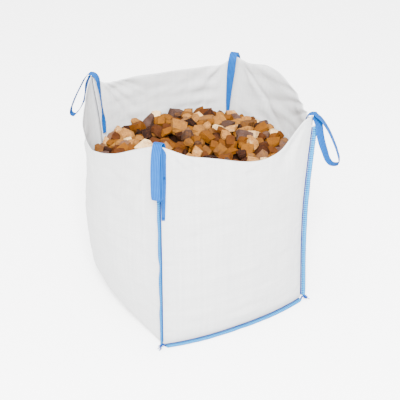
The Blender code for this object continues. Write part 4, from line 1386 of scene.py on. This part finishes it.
    def bar(self, corner: Corner, drop: float, width: float, rows: int) -> tuple[Array, Array, Array]:
        """Bar of stitching across an outer leg: level rows of short stitches on its face."""
        lift = 0.5 * self.outline.cloth + self.leg_gap + self.thickness + self.arch + 0.0004
        points, across, normals = self.leg(corner, corner, self.outer_length, lift,
                                             self.outer_end_inset)
        place = drop / self.outer_length * (len(points) - 1)
        spots = np.arange(len(points))
        middle, side, face = (np.array([np.interp(place, spots, c) for c in a.T])
                              for a in (points, across, normals))
        down = unit(points[-1] - points[0])
        starts = np.linspace(-0.5, 0.46, 9) * width
        length = 0.072 * width
        paths = []
        for row in range(rows):
            height = (row - 0.5 * (rows - 1)) * 0.0045
            for start in starts:
                steps = np.linspace(0.0, 1.0, 5)[:, None]
                bow = np.sin(math.pi * steps) * 0.0009
                paths.append(middle + side * (start + steps * length) + down * height + face * bow)
        return repeated_threads(np.array(paths), 0.0011)

    def build(self, dresser: Dresser, webbing: bpy.types.Material, deep: bpy.types.Material) -> None:
        """Make the straps, their outer legs and their bars of stitching."""
        for corner in Corner:
            label = corner.label
            points, faces, uv = self.strap(corner)
            strap = tidy_faces(dresser.mesh_object("strap_" + label, points, faces, webbing, uv))
            fold = Vector(self.fold(corner).tolist())
            out = Vector(self.outline.seam_out(corner).tolist())
            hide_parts("loop_" + label, "inner_strap_leg_" + label)
            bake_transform(strap)
            points, faces, uv = self.outer_leg(corner)
            leg = tidy_faces(dresser.mesh_object("outer_leg_" + label, points, faces, webbing, uv))
            dresser.dress(leg, "bag", ("outer_strap_leg_" + label,))
            for word, drop, width, rows in (("upper", 0.17, 0.023, 3), ("lower", 0.405, 0.015, 2)):
                points, faces, uv = self.bar(corner, drop, width, rows)
                bar = dresser.mesh_object(f"{word}_bar_{label}", points, faces, deep, uv)
                dresser.dress(tidy_faces(bar), "bag", (f"{word}_leg_stitch_{label}",))


# ---------------------------------------------------------------- stones
@dataclass
class StoneLoad:
    """Crushed stone: a closed heap with layers of separate broken stones on its surface."""

    outline: BagOutline
    drape: Drape
    layers: tuple = ((0.020, 195), (0.048, 180), (0.080, 160))
    smallest: float = 0.020
    largest: float = 0.052
    cuts: int = 4
    wall_gap: float = 0.004
    leg_depth: float = 0.042
    seed: int = 5

    def surface(self, x: Array, y: Array) -> Array:
        """Height of the heap: a low crown less squares of x and y and their product, with a tilt."""
        u, v = x / 0.5, y / 0.5
        return 1.012 - 0.045 * (u * u + v * v) - 0.10 * u * u * v * v - 0.010 * u

    def block(self) -> tuple[Array, Array]:
        """Rounded block of 26 points and 48 triangles: a cube's grid pushed towards a sphere."""
        side = np.array([-1.0, 0.0, 1.0])
        grid = np.stack(np.meshgrid(side, side, side, indexing="ij"), axis=-1).reshape(-1, 3)
        keep = np.abs(grid).max(axis=1) > 0.5
        number = np.cumsum(keep) - 1
        index = np.arange(27).reshape(3, 3, 3)
        quads = []
        for axis in range(3):
            for end in (0, 2):
                face = np.take(index, end, axis=axis)
                flip = (end == 2) != (axis == 1)
                quad = np.stack([face[:-1, :-1], face[1:, :-1], face[1:, 1:], face[:-1, 1:]], -1)
                quad = quad.reshape(-1, 4)
                quads.append(quad if flip else quad[:, ::-1])
        quads = number[np.concatenate(quads)]
        faces = np.concatenate([quads[:, [0, 1, 2]], quads[:, [0, 2, 3]]])
        points = grid[keep]
        return unit(points) * (0.6 + 0.4 * np.linalg.norm(points, axis=1, keepdims=True)), faces

    def settle(self, count: int, rng: np.random.Generator, depth: float) -> tuple[Array, Array]:
        """Spread stones over the bag: random places, pushed apart in pairs and in from the walls.

        Args:
            count: Number of stones.
            rng: Source of random numbers.
            depth: Depth of the layer below the surface.

        Returns:
            Centres and radii.
        """
        radius = self.smallest + (self.largest - self.smallest) * rng.beta(1.6, 2.2, count)
        spot = rng.uniform(-0.56, 0.56, (count, 2))
        for _ in range(90):
            gap = spot[:, None] - spot[None]
            distance = np.linalg.norm(gap, axis=-1) + np.eye(count)
            overlap = np.clip(0.92 * (radius[:, None] + radius[None]) - distance, 0.0, None)
            overlap *= 1.0 - np.eye(count)
            spot += 0.35 * np.sum(gap / distance[..., None] * overlap[..., None], axis=1)
            spot = self.inside(spot, radius, depth)
        z = self.surface(spot[:, 0], spot[:, 1]) - depth
        z += rng.uniform(-0.010, 0.006, count) - 0.55 * (radius - self.smallest)
        return np.column_stack([spot, z]), radius

    def inside(self, spot: Array, radius: Array, depth: float) -> Array:
        """Move places in from the four walls until each stone clears the cloth."""
        o = self.outline
        for wall in Wall:
            z = np.minimum(self.surface(spot[:, 0], spot[:, 1]) - depth, 1.0)
            along, across = (0, 1) if wall in (Wall.FRONT, Wall.BACK) else (1, 0)
            first = o.corner_xy(wall, z)[along]
            last = o.corner_xy(wall + 1, z)[along]
            s = np.clip((spot[:, along] - first) / (last - first), 0.0, 1.0)
            sign = o.normals[wall][across]
            corner = 0.020 * np.abs(2.0 * s - 1.0) ** 8
            reach = sign * o.point(wall, s, z)[:, across] - 1.12 * radius - self.wall_gap - corner
            limit = sign * np.minimum(sign * spot[:, across], reach)
            spot[:, across] = limit
        return spot

    def stones(self) -> tuple[Array, Array, Array]:
        """All separate stones.

        Each is a rough box of six tilted planes with its corners cut by a few more: along every
        direction of the block the nearest plane sets the distance (plane distance over the cosine of the
        angle to the plane's normal). It is then stretched, turned at random and put in its place.

        Returns:
            Points, triangles and the tone of each point, darker for the lower layers as painted shade.
        """
        rng = np.random.default_rng(self.seed)
        base, faces = self.block()
        places, sizes = zip(*(self.settle(count, rng, depth) for depth, count in self.layers))
        centre, radius = np.concatenate(places), np.concatenate(sizes)
        count = len(radius)
        box = np.concatenate([np.eye(3), -np.eye(3)])
        normal = unit(np.tile(box, (count, 1, 1)) + rng.normal(0.0, 0.20, (count, 6, 3)))
        normal = np.concatenate([normal, unit(rng.normal(size=(count, self.cuts, 3)))], axis=1)
        distance = np.concatenate([rng.uniform(0.62, 0.92, (count, 6)),
                                   rng.uniform(0.74, 1.05, (count, self.cuts))], axis=1)
        cosine = np.maximum(np.einsum("kj,npj->nkp", unit(base), normal), 0.05)
        reach = np.min(distance[:, None] / cosine, axis=-1)
        shape = unit(base) * np.minimum(reach, 1.45)[..., None]
        stretch = np.column_stack([rng.uniform(0.95, 1.35, count), rng.uniform(0.78, 1.05, count),
                                   rng.uniform(0.62, 0.95, count)])
        shape *= stretch[:, None] * radius[:, None, None] * 1.12
        tilt = rng.normal(0.0, 0.42, (count, 2))
        spin = rng.uniform(0.0, 2.0 * math.pi, count)
        shape = self.turned(shape, tilt[:, 0], 0, 1, 2)
        shape = self.turned(shape, tilt[:, 1], 1, 2, 0)
        shape = self.turned(shape, spin, 2, 0, 1)
        points = self.held((shape + centre[:, None]).reshape(-1, 3), self.wall_gap)
        number = (np.arange(count) * len(base))[:, None, None]
        # lower layers are darkened: painted shade in the gaps between the top stones, over each stone's own
        # random tone
        depth_shade = np.repeat((1.0, 0.55, 0.25), [amount for _, amount in self.layers])
        tone = np.repeat(rng.beta(1.35, 1.15, count) * depth_shade, len(base))
        return points, (faces[None] + number).reshape(-1, 3), tone

    def held(self, points: Array, gap: float) -> Array:
        """Move points in to stay a gap inside the draped cloth of all four walls, and behind the
        inner strap legs that lie across the corners."""
        points = points.copy()
        for wall in Wall:
            along, across = (0, 1) if wall in (Wall.FRONT, Wall.BACK) else (1, 0)
            first = self.outline.corner_xy(wall, points[:, 2])[along]
            last = self.outline.corner_xy(wall + 1, points[:, 2])[along]
            s = np.clip((points[:, along] - first) / (last - first), 0.0, 1.0)
            sign = self.outline.normals[wall][across]
            reach = sign * self.drape.point(wall, s, points[:, 2])[:, across] - gap
            points[:, across] = sign * np.minimum(sign * points[:, across], reach)
        for corner in Corner:
            out = self.outline.seam_out(corner)
            seam = np.stack(self.outline.corner_xy(corner, points[:, 2]), axis=-1)
            past = (points[:, :2] - seam) @ out[:2] + self.leg_depth
            points[:, :2] -= np.clip(past, 0.0, None)[:, None] * out[:2]
        return points

    @staticmethod
    def turned(shape: Array, angle: Array, axis: int, first: int, second: int) -> Array:
        """Turn each stone by its own angle about an axis."""
        result = shape.copy()
        cos, sin = np.cos(angle)[:, None], np.sin(angle)[:, None]
        result[..., first] = cos * shape[..., first] - sin * shape[..., second]
        result[..., second] = sin * shape[..., first] + cos * shape[..., second]
        result[..., axis] = shape[..., axis]
        return result

    def heap(self) -> tuple[Array, Array, Array]:
        """Closed heap under the separate stones.

        Rings follow the four walls inside the cloth from the bottom up to below the surface, then
        shrink to the middle, with a rough random top.
        """
        o = self.outline
        per_wall = 24
        levels = [0.020, 0.05, 0.10, 0.18, 0.30, 0.50, 0.70, 0.84]
        share = np.linspace(0.0, 1.0, per_wall, endpoint=False)
        rings = []
        for height in levels:
            parts = []
            for wall in Wall:
                point = o.point(wall, share, height)
                radius = o.round_radius(wall, share)
                cut = np.clip(1.0 - height / radius, 0.0, 1.0)
                inward = radius * (1.0 - np.sqrt(1.0 - cut ** 2)) + 0.016
                point -= o.normal(wall) * inward[:, None]
                parts.append(point)
            ring = np.concatenate(parts)
            pull = np.abs(2.0 * np.tile(share, 4) - 1.0) ** 6 * 0.030
            ring[:, :2] -= np.sign(ring[:, :2]) * pull[:, None]
            rings.append(ring)
        top = rings[-1]
        middle = top.mean(axis=0)
        for size in np.linspace(0.995, 0.06, 20):
            ring = middle + size * (top - middle)
            rough = value_noise(ring[:, 0] / 0.05, ring[:, 1] / 0.05, 9) * 0.008
            ring[:, 2] = self.surface(ring[:, 0], ring[:, 1]) - 0.085 + rough
            rings.append(ring)
        grid = np.array(rings)
        rows, count = grid.shape[:2]
        faces = grid_faces(rows, count, wrap=True)
        low, high = rings[0].mean(axis=0), rings[-1].mean(axis=0)
        ring = np.arange(count)
        pole = np.full(count, rows * count)
        caps = [np.stack([ring, np.roll(ring, -1), pole, pole], -1),
                np.stack([np.roll(ring, -1) + (rows - 1) * count, ring + (rows - 1) * count,
                          pole + 1, pole + 1], -1)]
        points = np.concatenate([grid.reshape(-1, 3), [low, high]])
        return points, np.concatenate([faces, *caps]), points[:, :2]

    def build(self, dresser: Dresser, material: bpy.types.Material) -> list[bpy.types.Object]:
        """Make the stones and the heap under them."""
        points, faces, tone = self.stones()
        stones = dresser.mesh_object("crushed_stones", points, faces, material, smooth_shaded=False)
        layer = stones.data.attributes.new("stone_tone_and_shade", "FLOAT", "POINT")
        layer.data.foreach_set("value", tone.astype(np.float32))
        dresser.dress(stones, "bag", ("stone_load",))
        points, faces, uv = self.heap()
        heap = tidy_faces(dresser.mesh_object("stone_heap", points, faces, material, uv))
        layer = heap.data.attributes.new("stone_tone_and_shade", "FLOAT", "POINT")
        # the heap takes a near-black tone: painted shade where it shows between the stones
        layer.data.foreach_set("value", np.full(len(heap.data.vertices), 0.05, dtype=np.float32))
        dresser.dress(heap, "bag")
        return [stones, heap]


# ---------------------------------------------------------------- studio
@dataclass(frozen=True)
class Studio:
    """Camera, pale floor and soft light."""

    location: tuple = (-2.064, -4.181, 3.221)
    azimuth: float = -26.3
    elevation: float = 29.5
    lens: float = 81.8
    floor_size: float = 60.0

    def camera(self) -> None:
        """Put the camera at its place and make it the scene's."""
        data = bpy.data.cameras.new("camera")
        data.lens = self.lens
        data.sensor_width = 36.0
        obj = bpy.data.objects.new("camera", data)
        obj.location = self.location
        obj.rotation_euler = (math.radians(90.0 - self.elevation), 0.0, math.radians(self.azimuth))
        bpy.context.scene.collection.objects.link(obj)
        bpy.context.scene.camera = obj

    def lamp(self, name: str, place: Sequence[float], size: float, power: float,
             colour: Sequence[float] = (1.0, 1.0, 1.0)) -> None:
        """Put a square area light at a place, aimed at the bag's middle."""
        data = bpy.data.lights.new(name, "AREA")
        data.size = size
        data.energy = power
        data.color = colour
        obj = bpy.data.objects.new(name, data)
        obj.location = place
        aim = Vector((0.0, 0.0, 0.6)) - Vector(place)
        obj.rotation_euler = aim.to_track_quat("-Z", "Y").to_euler()
        bpy.context.scene.collection.objects.link(obj)

    def build(self, dresser: Dresser) -> None:
        """Make the whole studio."""
        self.camera()
        self.lamp("key", (-4.2, -8.8, 9.2), 4.0, 9400.0)
        self.lamp("fill", (3.5, -3.0, 2.2), 3.0, 30.0)
        world = bpy.data.worlds.new("studio")
        world.use_nodes = True
        world.node_tree.nodes["Background"].inputs["Color"].default_value = (1.0, 1.0, 1.0, 1.0)
        world.node_tree.nodes["Background"].inputs["Strength"].default_value = 4.3
        bpy.context.scene.world = world
        half = 0.5 * self.floor_size
        corners = np.array([(-half, -half, 0.0), (half, -half, 0.0), (half, half, 0.0), (-half, half, 0.0)])
        material = bpy.data.materials.new("pale_floor")
        material.use_nodes = True
        shader = material.node_tree.nodes["Principled BSDF"]
        shader.inputs["Base Color"].default_value = (0.97, 0.97, 0.97, 1.0)
        shader.inputs["Roughness"].default_value = 0.9
        floor = dresser.mesh_object("floor", corners, np.array([[0, 1, 2, 3]]), material)


def main() -> None:
    """Build every sub-assembly in order."""
    logging.basicConfig(level=logging.INFO, format="%(name)s: %(message)s")
    outline = BagOutline()
    dresser = Dresser()
    Studio().build(dresser)
    groups = Groups()
    cloth = TapeCloth("woven_tape_cloth", roughness=0.62, specular=0.35).material(groups)
    webbing = RibbedWebbing("ribbed_webbing", roughness=0.70, specular=0.04).material(groups)
    pale = SpunThread("pale_thread", roughness=0.7, specular=0.1, colour=(0.003, 0.125, 0.31),
                      light=(0.020, 0.220, 0.440)).material(groups)
    deep = SpunThread("blue_thread", roughness=0.70, specular=0.04).material(groups)
    stone = CrushedStone("crushed_stone", roughness=0.8, specular=0.04).material(groups)

    stones = StoneLoad(outline, Drape(outline)).build(dresser, stone)
    cloths = BagCloth(outline, Drape(outline)).build(dresser, cloth)
    SeamStitching(outline).build(dresser, pale, deep)
    LiftingStraps(outline).build(dresser, webbing, deep)
    for piece in (*stones, *cloths):
        LOG.info("%s: %d points", piece.name, len(piece.data.vertices))


if __name__ == "__main__":
    main()
